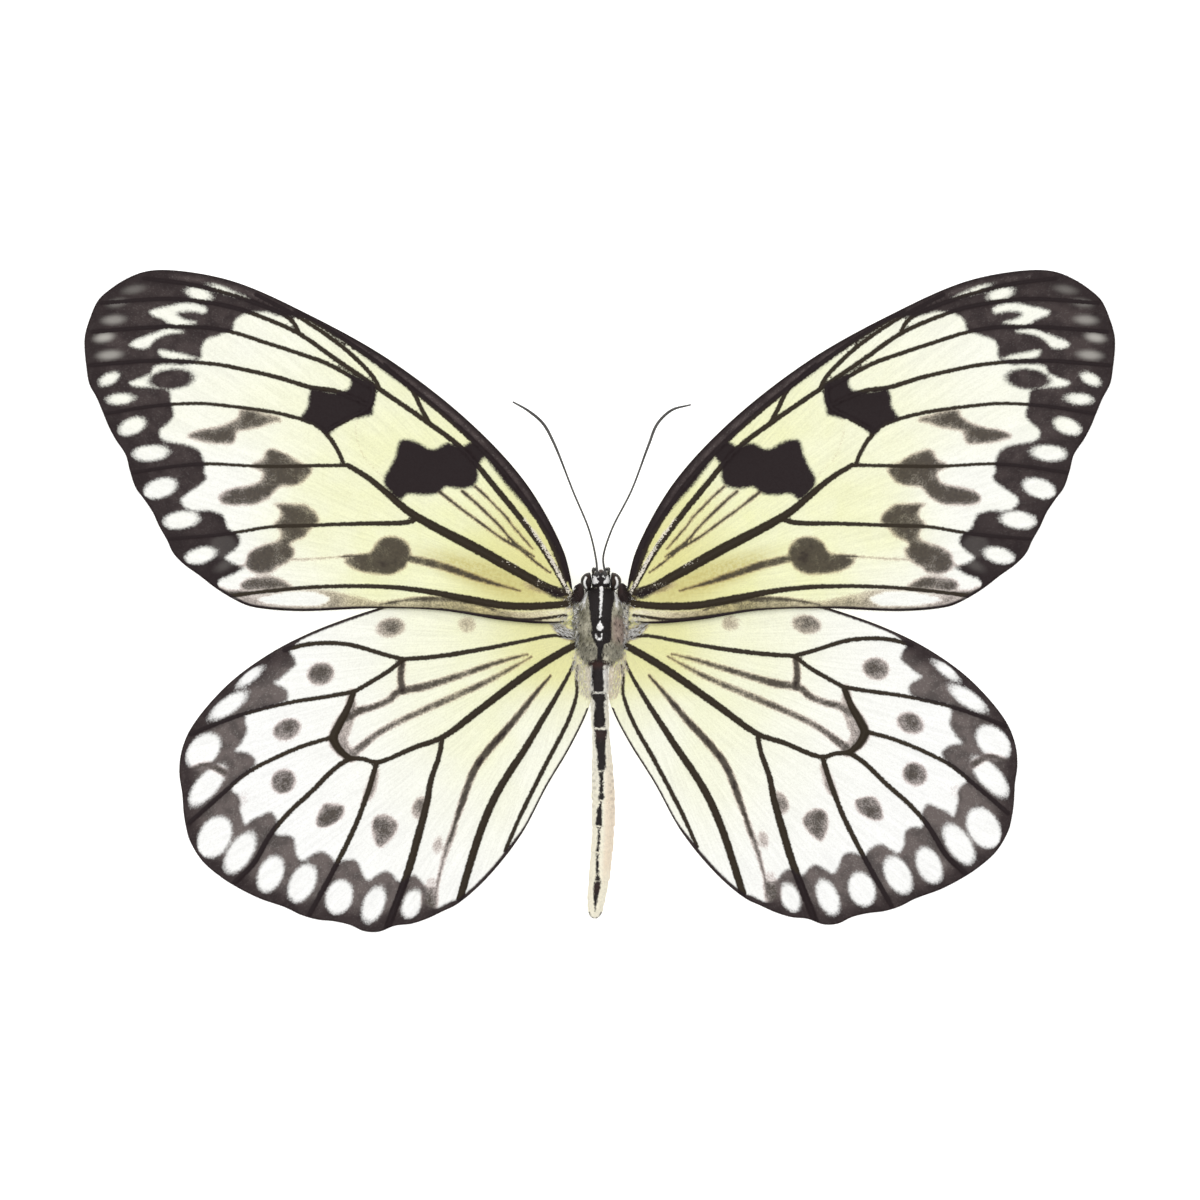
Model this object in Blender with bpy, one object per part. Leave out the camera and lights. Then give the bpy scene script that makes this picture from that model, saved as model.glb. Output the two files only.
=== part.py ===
"""A paper kite butterfly with its wings spread flat, at life size.

The butterfly stands on the feet of its four walking legs. +X is its right, +Y is towards its head and +Z is up.
Every size below is in millimetres. MM turns it into metres where a mesh is made.
The wing shapes are written for the right side, with X measured outwards from the body's middle.
"""

import math

import bmesh
import bpy
from mathutils import Matrix, Vector
from mathutils.geometry import delaunay_2d_cdt

MM = 0.001

# Clearance between two pieces that meet, and the least step between two rings of a bent tube.
GAP = 0.3
RING_STEP = 0.08

# Body: the middle plane, and the level and half sizes of the thorax.
BODY_X = 0.15
THORAX_Z = 7.6
THORAX_FRONT_Y = 1.45
THORAX_REAR_Y = -7.9
THORAX_HALF_WIDTH = 3.1
THORAX_HALF_HEIGHT = 3.2

# Head: a capsule with flat sides that carry the eyes.
HEAD_REAR_Y = THORAX_FRONT_Y + GAP
HEAD_LENGTH = 1.7
HEAD_Z = 8.2
HEAD_HALF_WIDTH = 1.15
HEAD_HALF_HEIGHT = 1.45
EYE_RADIUS = 1.15
EYE_HEIGHT = 1.15
EYE_Y = 2.4
EYE_RIM_DEG = 8.0
EYE_CROWN_DEG = 86.0

# Feelers, palps and tongue.
ANTENNA_X = 0.42
ANTENNA_RADIUS = 0.27
CLUB_RADIUS = 0.36
PALP_X = 0.95
PALP_RADIUS = 0.36
TONGUE_RADIUS = 0.24
COIL_Y = 2.7
COIL_RADIUS = 1.05
COIL_TURNS = 1.6
COIL_NARROWING = 0.78

# Tegulae: the scales that cover the forewings' hinges.
TEGULA_HALF_LENGTH = 1.25
TEGULA_HALF_WIDTH = 0.55
TEGULA_HEIGHT = 0.7
TEGULA_X = 3.15
TEGULA_Y = 0.6
TEGULA_INNER_X = 1.75

# Abdomen: the places of the grooves between its rings, from its base to its tip.
ABDOMEN_BASE_Y = THORAX_REAR_Y - GAP
ABDOMEN_TIP_Y = -39.95
ABDOMEN_GROOVES_Y = (ABDOMEN_BASE_Y, -11.6, -16.1, -21.4, -25.2, -28.4, -31.7, -35.2, ABDOMEN_TIP_Y)
ABDOMEN_BASE_Z = 7.7
ABDOMEN_TIP_Z = 6.6
GROOVE = 0.93

# Legs.
THIGH_RADIUS = 0.42
SHIN_RADIUS = 0.32
FOOT_RADIUS = 0.27
FOOT_LEVEL = 0.24
LEG_STUB = 0.8

# Wings: the vein ridges stand out of both faces of a thin plate.
WING_THICKNESS = 0.5
RIDGE_ABOVE = 0.25
RIDGE_BELOW = 0.1
VEIN_HALF_WIDTH = 0.5
VEIN_TIP_SHARE = 0.6
WING_ROOT_Z = 8.6
WING_RISE_DEG = 3.5
WING_CAMBER = 0.9
WING_HALF_LENGTH = 41.0
HINDWING_DROP = 1.2
LEFT_HINDWING_TURN_DEG = -1.05
LEFT_HINDWING_SCALE = 1.013
HINDWING_HINGE = (3.0, -5.0)
HINGE_REACH = 12.0

FOREWING_OUTLINE = (
    (3.3, 0.9), (3.65, 2.9), (4.6, 6.3), (9.0, 14.3), (16.0, 22.0), (26.0, 29.85), (36.0, 35.5), (46.0, 39.9),
    (54.0, 41.25), (59.2, 40.1), (62.3, 37.9), (63.8, 35.0), (64.35, 31.5), (63.9, 27.7), (61.5, 22.1), (59.1, 17.3),
    (57.6, 13.3), (55.4, 9.6), (53.5, 6.2), (50.2, 3.1), (44.5, -0.6), (37.5, -1.4), (28.0, -1.05), (20.0, -1.3),
    (12.0, -2.55), (6.8, -2.95),
)
HINDWING_OUTLINE = (
    (6.0, -1.9), (13.0, 0.4), (21.0, 0.8), (27.0, -0.55), (31.0, -1.75), (36.0, -3.6), (41.0, -6.1), (46.2, -9.85),
    (50.6, -14.9), (52.2, -20.5), (51.8, -25.5), (51.1, -28.8), (49.6, -31.4), (45.2, -34.85), (39.5, -37.35),
    (35.5, -38.95), (31.5, -39.7), (28.0, -40.6), (22.0, -39.1), (18.3, -37.4), (14.8, -34.5), (10.3, -29.1),
    (6.8, -22.85), (3.7, -17.9), (1.9, -14.5), (1.35, -12.5), (1.5, -10.0), (1.85, -8.4),
)

FOREWING_VEINS = {
    "subcosta": ((4.2, 2.6), (6.6, 8.2), (12.0, 15.9), (20.0, 23.6), (31.0, 31.9), (38.0, 36.1)),
    "radius": ((3.9, 0.8), (7.0, 6.2), (12.0, 12.85), (19.0, 19.9), (27.0, 26.0), (37.6, 33.3), (45.0, 36.3),
               (53.0, 37.6), (62.3, 37.1)),
    "radial_1": ((21.4, 22.1), (22.6, 25.0), (27.0, 29.6)),
    "radial_2": ((27.8, 26.8), (31.0, 30.65), (37.0, 35.0), (43.0, 38.2)),
    "radial_3": ((37.6, 33.3), (43.5, 37.3), (50.5, 39.3), (57.0, 40.2)),
    "medial_1": ((28.7, 26.8), (32.0, 28.5), (38.0, 30.95), (46.0, 33.5), (55.0, 34.1), (63.4, 33.5)),
    "medial_2": ((28.7, 24.3), (33.0, 26.15), (40.0, 27.75), (48.0, 29.45), (55.0, 29.9), (63.7, 29.3)),
    "medial_3": ((34.2, 20.9), (37.5, 22.5), (43.0, 23.8), (50.0, 24.55), (57.0, 24.0), (61.6, 23.3)),
    "cell_end": ((28.3, 26.9), (28.8, 24.2), (31.2, 22.8), (34.2, 20.9), (32.9, 19.2), (32.0, 16.9)),
    "cubitus_stem": ((4.4, 0.9), (9.0, 2.85), (15.0, 6.2), (20.0, 8.75), (26.0, 12.8), (31.5, 16.85)),
    "cubitus_1": ((31.5, 16.85), (39.0, 16.7), (49.0, 17.0), (58.3, 15.9)),
    "cubitus_2": ((23.2, 10.5), (27.0, 9.55), (37.0, 9.3), (47.0, 8.2), (53.8, 7.6)),
    "anal_2": ((4.3, -0.7), (10.0, -0.75), (16.0, 0.05), (22.0, 1.15), (30.0, 1.7), (39.0, 1.35), (45.8, 0.6)),
}
HINDWING_VEINS = {
    "radial_stem": ((3.4, -4.6), (10.0, -5.2), (18.0, -6.45), (24.4, -7.0)),
    "subcosta": ((24.4, -7.0), (30.0, -5.3), (36.0, -4.9), (39.0, -5.6)),
    "radial_sector": ((24.4, -7.0), (28.0, -9.5), (30.5, -10.9)),
    "medial_1": ((30.5, -10.9), (36.0, -11.65), (44.0, -13.35), (50.6, -15.7)),
    "cell_end": ((30.5, -10.9), (31.6, -13.8), (33.1, -16.4), (31.2, -19.1)),
    "medial_2": ((33.1, -16.4), (37.0, -17.5), (44.0, -20.75), (50.9, -26.5)),
    "medial_3": ((31.2, -19.1), (36.0, -23.15), (41.2, -28.45), (45.5, -33.9)),
    "cubitus_stem": ((3.6, -5.9), (9.0, -9.15), (15.0, -13.4), (20.0, -16.8), (27.9, -19.6), (31.2, -19.1)),
    "cubitus_1": ((27.9, -19.6), (30.6, -27.35), (36.3, -37.9)),
    "cubitus_2": ((19.7, -16.8), (21.5, -23.3), (24.2, -33.1), (26.8, -39.8)),
    "anal_1": ((6.2, -9.5), (11.0, -15.1), (15.75, -20.7), (19.35, -30.45), (21.2, -38.0)),
    "anal_2": ((3.9, -8.2), (9.0, -17.55), (14.0, -25.65), (17.8, -36.0)),
    "anal_3": ((3.2, -9.7), (4.0, -14.9), (9.0, -24.0), (11.9, -30.4)),
}

# Antennae run forwards and hook outwards at the club: X outwards, Y forwards and Z up, for each side.
ANTENNA_PATHS = {
    "right": ((0.43, 5.3, 10.3), (1.48, 8.75, 11.0), (3.97, 13.7, 11.9), (6.08, 19.3, 12.8), (7.2, 22.0, 13.1),
              (9.0, 23.7, 13.2), (11.3, 24.35, 13.1)),
    "left": ((0.47, 5.1, 10.3), (1.30, 8.65, 11.0), (3.30, 13.5, 11.9), (5.80, 19.75, 12.8), (7.1, 22.05, 13.1),
             (8.9, 23.6, 13.2), (10.8, 24.7, 13.1)),
}

# Legs: where each leaves the thorax (Y, and angle below the horizontal), its knee, its ankle and its toe.
WALKING_LEGS = {
    "midleg": ((-0.9, 38.0), (6.0, 1.6, 6.0), (9.0, 4.6, 0.9), (10.6, 7.9, 0.0)),
    "hindleg": ((-4.3, 38.0), (5.6, -7.6, 5.6), (8.4, -11.3, 0.9), (9.8, -14.9, 0.0)),
}
FORELEG_ROOT = (0.55, 48.0)
FORELEG_KNEE = (1.75, 2.9, 4.9)
FORELEG_TIP = (1.55, 0.5, 3.9)

# Colour, roughness and metallic value of each finish.
FINISHES = {
    "wing": ((0.88, 0.88, 0.72, 1.0), 0.6, 0.0),
    "body": ((0.80, 0.74, 0.55, 1.0), 0.75, 0.0),
    "thorax": ((0.05, 0.04, 0.04, 1.0), 0.8, 0.0),
    "eye": ((0.02, 0.015, 0.015, 1.0), 0.15, 0.0),
    "limb": ((0.04, 0.035, 0.035, 1.0), 0.5, 0.0),
}


def smooth_curve(points, steps):
    """Points along a centripetal Catmull-Rom curve, with a number of steps between each two given points."""
    pts = [Vector(p) for p in points]
    pts = [2 * pts[0] - pts[1]] + pts + [2 * pts[-1] - pts[-2]]
    curve = []
    for i in range(1, len(pts) - 2):
        p0, p1, p2, p3 = pts[i - 1:i + 3]
        t1 = math.sqrt((p1 - p0).length)
        t2 = t1 + math.sqrt((p2 - p1).length)
        t3 = t2 + math.sqrt((p3 - p2).length)
        for step in range(steps):
            t = t1 + (t2 - t1) * step / steps
            a1 = p0.lerp(p1, t / t1)
            a2 = p1.lerp(p2, (t - t1) / (t2 - t1))
            a3 = p2.lerp(p3, (t - t2) / (t3 - t2))
            b1 = a1.lerp(a2, t / t2)
            b2 = a2.lerp(a3, (t - t1) / (t3 - t1))
            curve.append(b1.lerp(b2, (t - t1) / (t2 - t1)))
    curve.append(pts[-2])
    return curve


def along(values, share):
    """The value at a share, from 0 to 1, of the way along evenly spread values."""
    place = share * (len(values) - 1)
    i = min(int(place), len(values) - 2)
    return values[i] + (values[i + 1] - values[i]) * (place - i)


def finish_material(name, finish):
    colour, roughness, metallic = FINISHES[finish]
    material = bpy.data.materials.new(name)
    material.use_nodes = True
    shader = material.node_tree.nodes["Principled BSDF"]
    shader.inputs["Base Color"].default_value = colour
    shader.inputs["Roughness"].default_value = roughness
    shader.inputs["Metallic"].default_value = metallic
    return material


def add_object(name, points, faces, finish):
    """One object from points in millimetres, with its faces turned outwards and its own material."""
    mesh = bpy.data.meshes.new(name)
    mesh.from_pydata([Vector(p) * MM for p in points], [], faces)
    shape = bmesh.new()
    shape.from_mesh(mesh)
    bmesh.ops.recalc_face_normals(shape, faces=shape.faces)
    shape.to_mesh(mesh)
    shape.free()
    mesh.materials.append(finish_material(name, finish))
    mesh.shade_smooth()
    mesh.set_sharp_from_angle(angle=math.radians(40))
    obj = bpy.data.objects.new(name, mesh)
    bpy.context.collection.objects.link(obj)
    return obj


def skin_rings(rings):
    """Points and faces of a closed skin through rings of equally many points, with a fan of faces at each end."""
    sides = len(rings[0])
    points = [p for ring in rings for p in ring]
    faces = []
    for r in range(len(rings) - 1):
        for s in range(sides):
            a = r * sides + s
            b = r * sides + (s + 1) % sides
            faces.append((a, b, b + sides, a + sides))
    for ring, base in ((rings[0], 0), (rings[-1], (len(rings) - 1) * sides)):
        centre = sum((Vector(p) for p in ring), Vector((0, 0, 0))) / sides
        points.append(centre)
        for s in range(sides):
            faces.append((base + s, base + (s + 1) % sides, len(points) - 1))
    return points, faces


def upright_ring(x, y, z, half_width, half_height, sides, flatness=1.0):
    """An ellipse across the body. A flatness over 1 presses its two sides flat."""
    ring = []
    for s in range(sides):
        angle = 2 * math.pi * (s + 0.5) / sides
        reach = max(-1.0, min(1.0, flatness * math.cos(angle)))
        ring.append(Vector((x + half_width * reach, y, z + half_height * math.sin(angle))))
    return ring


def tube_rings(path, radii, sides):
    """Rings square to a path, turned along it without twist. One that would cross the ring before it is left out."""
    rings = []
    across = None
    last = len(path) - 1
    for i, centre in enumerate(path):
        ahead = (path[min(i + 1, last)] - path[max(i - 1, 0)]).normalized()
        if across is None:
            across = ahead.cross(Vector((0, 0, 1)))
            if across.length < 0.1:
                across = ahead.cross(Vector((0, 1, 0)))
        across = (across - ahead * across.dot(ahead)).normalized()
        upward = across.cross(ahead)
        radius = along(radii, i / last)
        ring = []
        for s in range(sides):
            angle = 2 * math.pi * (s + 0.5) / sides
            ring.append(centre + radius * (math.cos(angle) * across + math.sin(angle) * upward))
        crosses = rings and min((b - a).dot(ahead) for a, b in zip(rings[-1], ring)) < RING_STEP
        if i == last or not crosses:
            rings.append(ring)
    return rings


# Thorax

# Each station along the thorax: share of its length from the front, share of the full width and of the full height.
THORAX_STATIONS = (
    (0.0, 0.34, 0.34), (0.05, 0.60, 0.60), (0.12, 0.82, 0.81), (0.24, 0.96, 0.95), (0.42, 1.0, 1.0),
    (0.62, 0.98, 0.96), (0.80, 0.87, 0.82), (0.92, 0.68, 0.62), (1.0, 0.46, 0.44),
)
THORAX_SIDES = 20


def thorax_half_sizes(y):
    """Half width and half height of the thorax at a place along the body."""
    share = (y - THORAX_FRONT_Y) / (THORAX_REAR_Y - THORAX_FRONT_Y)
    share = max(0.0, min(1.0, share))
    for (s0, w0, h0), (s1, w1, h1) in zip(THORAX_STATIONS, THORAX_STATIONS[1:]):
        if share <= s1:
            t = (share - s0) / (s1 - s0)
            return THORAX_HALF_WIDTH * (w0 + (w1 - w0) * t), THORAX_HALF_HEIGHT * (h0 + (h1 - h0) * t)
    return THORAX_HALF_WIDTH * w1, THORAX_HALF_HEIGHT * h1


def thorax_side(y, z):
    """How far the thorax reaches sideways from its middle at a place and level."""
    half_width, half_height = thorax_half_sizes(y)
    level = min(1.0, abs(z - THORAX_Z) / half_height)
    return half_width * math.sqrt(1.0 - level * level)


def make_thorax():
    length = THORAX_REAR_Y - THORAX_FRONT_Y
    rings = []
    for share, wide, high in THORAX_STATIONS:
        y = THORAX_FRONT_Y + share * length
        rings.append(upright_ring(BODY_X, y, THORAX_Z, THORAX_HALF_WIDTH * wide, THORAX_HALF_HEIGHT * high,
                                  THORAX_SIDES))
    points, faces = skin_rings(rings)
    return add_object("thorax", points, faces, "thorax")


TEGULA_SIDES = 14


def make_tegula(side_name, side):
    """A rounded scale that runs from the thorax out over the forewing's hinge, flat underneath."""
    floor = wing_level(TEGULA_X, TEGULA_Y) + WING_THICKNESS / 2 + RIDGE_ABOVE + GAP
    rings = []
    for high, size in ((0.0, 0.9), (0.3, 1.0), (0.7, 0.75), (1.0, 0.3)):
        z = floor + TEGULA_HEIGHT * high
        ring = []
        for s in range(TEGULA_SIDES):
            angle = 2 * math.pi * s / TEGULA_SIDES
            y = TEGULA_Y + size * TEGULA_HALF_LENGTH * math.sin(angle)
            if math.cos(angle) > 0:
                reach = TEGULA_HALF_WIDTH
            else:
                reach = TEGULA_X - max(TEGULA_INNER_X, thorax_side(y, z) + GAP)
            ring.append(Vector((BODY_X + side * (TEGULA_X + size * reach * math.cos(angle)), y, z)))
        rings.append(ring)
    points, faces = skin_rings(rings)
    return add_object("tegula_" + side_name, points, faces, "thorax")


# Head, eyes, feelers, palps and tongue

HEAD_STATIONS = ((0.0, 0.62), (0.12, 0.86), (0.32, 1.0), (0.6, 0.97), (0.84, 0.72), (1.0, 0.34))
HEAD_FLATNESS = 1.35
HEAD_SIDES = 16


def make_head():
    rings = []
    for share, size in HEAD_STATIONS:
        y = HEAD_REAR_Y + share * HEAD_LENGTH
        width = min(1.0, size * 1.15)
        rings.append(upright_ring(BODY_X, y, HEAD_Z, HEAD_HALF_WIDTH * width, HEAD_HALF_HEIGHT * size, HEAD_SIDES,
                                  HEAD_FLATNESS))
    points, faces = skin_rings(rings)
    return add_object("head", points, faces, "thorax")


def make_eye(side_name, side):
    """A dome whose flat inner face lies against the head's flat side."""
    rings = []
    layers = 5
    sides = 16
    rim = math.radians(EYE_RIM_DEG)
    crown = math.radians(EYE_CROWN_DEG)
    for layer in range(layers):
        lean = rim + (crown - rim) * layer / (layers - 1)
        reach = BODY_X + side * (HEAD_HALF_WIDTH + GAP + EYE_HEIGHT * (math.sin(lean) - math.sin(rim)))
        ring = []
        for s in range(sides):
            angle = 2 * math.pi * s / sides
            radius = EYE_RADIUS * math.cos(lean)
            ring.append(Vector((reach, EYE_Y + radius * math.cos(angle), HEAD_Z + radius * math.sin(angle))))
        rings.append(ring)
    points, faces = skin_rings(rings)
    return add_object("eye_" + side_name, points, faces, "eye")


def make_antenna(side_name, side):
    """A slender feeler with a long weak club, rooted on the head's brow."""
    root = Vector((BODY_X + side * ANTENNA_X, HEAD_REAR_Y + 0.6 * HEAD_LENGTH, HEAD_Z + HEAD_HALF_HEIGHT + 0.2))
    path = [root, root + Vector((0, 0.25, 0.35))]
    for x, y, z in ANTENNA_PATHS[side_name]:
        path.append(Vector((side * x, y, z)))
    curve = smooth_curve(path, 3)
    radii = (ANTENNA_RADIUS, ANTENNA_RADIUS, ANTENNA_RADIUS, ANTENNA_RADIUS, ANTENNA_RADIUS, CLUB_RADIUS,
             CLUB_RADIUS, 0.6 * CLUB_RADIUS)
    points, faces = skin_rings(tube_rings(curve, radii, 6))
    return add_object("antenna_" + side_name, points, faces, "limb")


def make_palp(side_name, side):
    """A short tapered palp that rises in front of the face."""
    x = BODY_X + side * PALP_X
    path = ((x, 2.55, HEAD_Z - 1.72), (x, 3.15, HEAD_Z - 1.75), (x, 3.7, HEAD_Z - 1.2),
            (x - side * 0.1, 3.9, HEAD_Z - 0.35), (x - side * 0.15, 3.95, HEAD_Z + 0.35))
    curve = smooth_curve(path, 2)
    radii = (0.8 * PALP_RADIUS, PALP_RADIUS, PALP_RADIUS, 0.85 * PALP_RADIUS, 0.35 * PALP_RADIUS)
    points, faces = skin_rings(tube_rings(curve, radii, 8))
    return add_object("palp_" + side_name, points, faces, "body")


def make_tongue():
    """The sucking tongue, rolled up in the middle plane under the head."""
    steps = 26
    centre = Vector((BODY_X, COIL_Y, HEAD_Z - HEAD_HALF_HEIGHT - GAP - COIL_RADIUS - TONGUE_RADIUS))
    path = []
    for step in range(steps + 1):
        share = step / steps
        angle = math.radians(90) - 2 * math.pi * COIL_TURNS * share
        radius = COIL_RADIUS * (1.0 - COIL_NARROWING * share)
        path.append(centre + radius * Vector((0, math.cos(angle), math.sin(angle))))
    radii = (TONGUE_RADIUS, 0.85 * TONGUE_RADIUS, 0.6 * TONGUE_RADIUS)
    points, faces = skin_rings(tube_rings(path, radii, 8))
    return add_object("proboscis", points, faces, "limb")


# Abdomen

# At even steps from the base to the tip: the half width, and how far the middle line strays sideways.
ABDOMEN_HALF_WIDTHS = (1.2, 1.15, 1.12, 1.12, 1.2, 1.38, 1.48, 1.48, 1.42, 1.4, 1.33, 1.12, 0.4)
ABDOMEN_STRAY = (0.0, -0.1, 0.0, 0.1, 0.25, 0.35, 0.42, 0.47, 0.4, 0.2, -0.05, -0.4, -0.6)
ABDOMEN_DEPTH = 1.12
ABDOMEN_SIDES = 14


def abdomen_ring(y, swell):
    share = (y - ABDOMEN_BASE_Y) / (ABDOMEN_TIP_Y - ABDOMEN_BASE_Y)
    half_width = along(ABDOMEN_HALF_WIDTHS, share) * swell
    z = ABDOMEN_BASE_Z + (ABDOMEN_TIP_Z - ABDOMEN_BASE_Z) * share
    return upright_ring(along(ABDOMEN_STRAY, share), y, z, half_width, half_width * ABDOMEN_DEPTH, ABDOMEN_SIDES)


def make_abdomen():
    """Rings that each start in a groove, swell and end in the next groove."""
    rings = []
    for start, end in zip(ABDOMEN_GROOVES_Y, ABDOMEN_GROOVES_Y[1:]):
        for part, swell in ((0.0, GROOVE), (0.2, 1.0), (0.75, 1.02)):
            rings.append(abdomen_ring(start + (end - start) * part, swell))
    rings.append(abdomen_ring(ABDOMEN_TIP_Y, 1.0))
    points, faces = skin_rings(rings)
    return add_object("abdomen", points, faces, "body")


# Legs

def leg_root(y, below_deg, side):
    """Where a leg leaves the thorax, just off its surface, and the direction that it leaves in."""
    half_width, half_height = thorax_half_sizes(y)
    angle = math.radians(-below_deg)
    surface = Vector((BODY_X + side * half_width * math.cos(angle), y, THORAX_Z + half_height * math.sin(angle)))
    outward = Vector((side * math.cos(angle) / half_width, 0, math.sin(angle) / half_height)).normalized()
    return surface + outward * GAP, outward


def make_leg(name, side_name, side, joints, radii, sides):
    """A jointed leg as one bent tube. What would sink below the floor is pressed flat on it."""
    (root_y, below_deg), *places = joints
    root, outward = leg_root(root_y, below_deg, side)
    path = [root, root + outward * LEG_STUB]
    for x, y, z in places:
        path.append(Vector((side * x, y, z)))
    curve = smooth_curve(path, 3)
    rings = tube_rings(curve, radii, sides)
    for ring in rings:
        for point in ring:
            point.z = max(point.z, 0.0)
    points, faces = skin_rings(rings)
    return add_object(name + "_" + side_name, points, faces, "limb")


def make_walking_leg(name, side_name, side):
    root, knee, ankle, toe = WALKING_LEGS[name]
    heel = (ankle[0] + 0.25 * (toe[0] - ankle[0]), ankle[1] + 0.25 * (toe[1] - ankle[1]), FOOT_LEVEL)
    joints = (root, knee, ankle, heel, (toe[0], toe[1], FOOT_LEVEL))
    radii = (THIGH_RADIUS, THIGH_RADIUS, THIGH_RADIUS, SHIN_RADIUS, SHIN_RADIUS, FOOT_RADIUS)
    return make_leg(name, side_name, side, joints, radii, 8)


def make_foreleg(side_name, side):
    """The small brush leg of this family, folded under the front of the thorax."""
    joints = (FORELEG_ROOT, FORELEG_KNEE, (FORELEG_KNEE[0], FORELEG_KNEE[1] - 0.15, FORELEG_TIP[2] + 0.1), FORELEG_TIP)
    return make_leg("foreleg", side_name, side, joints, (SHIN_RADIUS, FOOT_RADIUS, FOOT_RADIUS), 8)


# Wings

def wing_level(x, y):
    """Level of the forewing's middle surface: it rises outwards, and its edges in front and behind bend down."""
    rise = math.tan(math.radians(WING_RISE_DEG)) * abs(x)
    bend = WING_CAMBER * (y / WING_HALF_LENGTH) ** 2
    return WING_ROOT_Z + rise - bend


class Vein:
    """The middle line of a vein, which thins towards the wing's edge."""

    def __init__(self, points):
        self.line = smooth_curve(points, 2)
        self.last = len(self.line) - 1

    def share_left(self, place):
        return 1.0 - (1.0 - VEIN_TIP_SHARE) * place / self.last

    def side_lines(self):
        """The two lines beside the middle line where the ridge meets the plate."""
        sides = ([], [])
        for i, point in enumerate(self.line):
            ahead = (self.line[min(i + 1, self.last)] - self.line[max(i - 1, 0)]).normalized()
            across = Vector((-ahead.y, ahead.x)) * VEIN_HALF_WIDTH * self.share_left(i)
            sides[0].append(point + across)
            sides[1].append(point - across)
        return sides

    def swell(self, point):
        """How far up the ridge a point lies: 1 on the middle line at the root, 0 beside the vein."""
        best = 0.0
        for i in range(self.last):
            a, b = self.line[i], self.line[i + 1]
            ahead = b - a
            t = max(0.0, min(1.0, (point - a).dot(ahead) / ahead.length_squared))
            share = self.share_left(i + t)
            away = (point - a - ahead * t).length / (VEIN_HALF_WIDTH * share)
            best = max(best, share * (1.0 - away))
        return best


def wing_plan(outline, veins):
    """Triangles that fill the outline and follow every vein, and how far each corner stands up its ridge."""
    lines = [(list(reversed(outline)), True)]
    for vein in veins:
        lines.append((vein.line, False))
        lines.extend((side, False) for side in vein.side_lines())
    corners = []
    edges = []
    for line, closed in lines:
        first = len(corners)
        corners.extend(line)
        edges.extend((first + i, first + i + 1) for i in range(len(line) - 1))
        if closed:
            edges.append((first + len(line) - 1, first))
    face = list(range(len(outline)))
    merge = 0.06
    corners, _, triangles, _, _, sources = delaunay_2d_cdt(corners, edges, [face], 1, merge)
    inside = [t for t, source in zip(triangles, sources) if source]
    used = sorted({corner for t in inside for corner in t})
    place = {corner: i for i, corner in enumerate(used)}
    swells = [max(vein.swell(corners[c]) for vein in veins) for c in used]
    return [corners[c] for c in used], [tuple(place[c] for c in t) for t in inside], swells


def edge_loop(triangles):
    """The directed edges that only one triangle has: the outline's own."""
    directed = {(t[i], t[(i + 1) % 3]) for t in triangles for i in range(3)}
    return [(a, b) for a, b in directed if (b, a) not in directed]


def turned_about_hinge(place, turn_deg, scale):
    """A place of the hindwing as the wing is set: turned about its hinge, with the root itself left where it is."""
    arm = place - Vector(HINDWING_HINGE)
    turned = scale * (Matrix.Rotation(math.radians(turn_deg), 2) @ arm)
    free = min(1.0, max(0.0, arm.length / HINGE_REACH - 0.25))
    return Vector(HINDWING_HINGE) + arm.lerp(turned, free)


def add_wing(name, outline, veins, side, drop, turn_deg=0.0, scale=1.0):
    """A wing as a plate between two faces split alike, with its veins raised on both."""
    plan, triangles, swells = wing_plan(outline, veins)
    upper = []
    lower = []
    for corner, swell in zip(plan, swells):
        x, y = turned_about_hinge(corner, turn_deg, scale)
        level = wing_level(x, y) - drop
        upper.append(Vector((side * x, y, level + WING_THICKNESS / 2 + RIDGE_ABOVE * swell)))
        lower.append(Vector((side * x, y, level - WING_THICKNESS / 2 - RIDGE_BELOW * swell)))
    count = len(upper)
    faces = list(triangles)
    faces.extend((c + count, b + count, a + count) for a, b, c in triangles)
    for a, b in edge_loop(triangles):
        faces.append((b, a, a + count))
        faces.append((b, a + count, b + count))
    return add_object(name, upper + lower, faces, "wing")


def root_edge(front_y, rear_y, level, side):
    """The wing's own edge beside the thorax, which follows the thorax's side at a fixed gap."""
    steps = 5
    edge = []
    for step in range(steps + 1):
        y = rear_y + (front_y - rear_y) * step / steps
        edge.append(Vector((side * BODY_X + thorax_side(y, level) + GAP, y)))
    return edge


def make_wings(side_name, side):
    fore_level = wing_level(3.0, 0.0)
    fore_edge = root_edge(-0.3, -2.9, fore_level, side)
    fore_outline = fore_edge + smooth_curve([fore_edge[-1]] + [Vector(p) for p in FOREWING_OUTLINE]
                                            + [fore_edge[0]], 2)[1:-1]
    fore_veins = [Vein(points) for points in FOREWING_VEINS.values()]
    add_wing("forewing_" + side_name, fore_outline, fore_veins, side, 0.0)
    hind_edge = root_edge(-3.6, -7.5, fore_level - HINDWING_DROP, side)
    hind_outline = hind_edge + smooth_curve([hind_edge[-1]] + [Vector(p) for p in HINDWING_OUTLINE]
                                            + [hind_edge[0]], 2)[1:-1]
    hind_veins = [Vein(points) for points in HINDWING_VEINS.values()]
    turn_deg, scale = (0.0, 1.0) if side > 0 else (LEFT_HINDWING_TURN_DEG, LEFT_HINDWING_SCALE)
    add_wing("hindwing_" + side_name, hind_outline, hind_veins, side, HINDWING_DROP, turn_deg, scale)


def main():
    for obj in list(bpy.data.objects):
        bpy.data.objects.remove(obj, do_unlink=True)
    make_thorax()
    make_head()
    make_tongue()
    make_abdomen()
    for side_name, side in (("left", -1), ("right", 1)):
        make_eye(side_name, side)
        make_antenna(side_name, side)
        make_palp(side_name, side)
        make_tegula(side_name, side)
        make_foreleg(side_name, side)
        for name in WALKING_LEGS:
            make_walking_leg(name, side_name, side)
        make_wings(side_name, side)


main()
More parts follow.
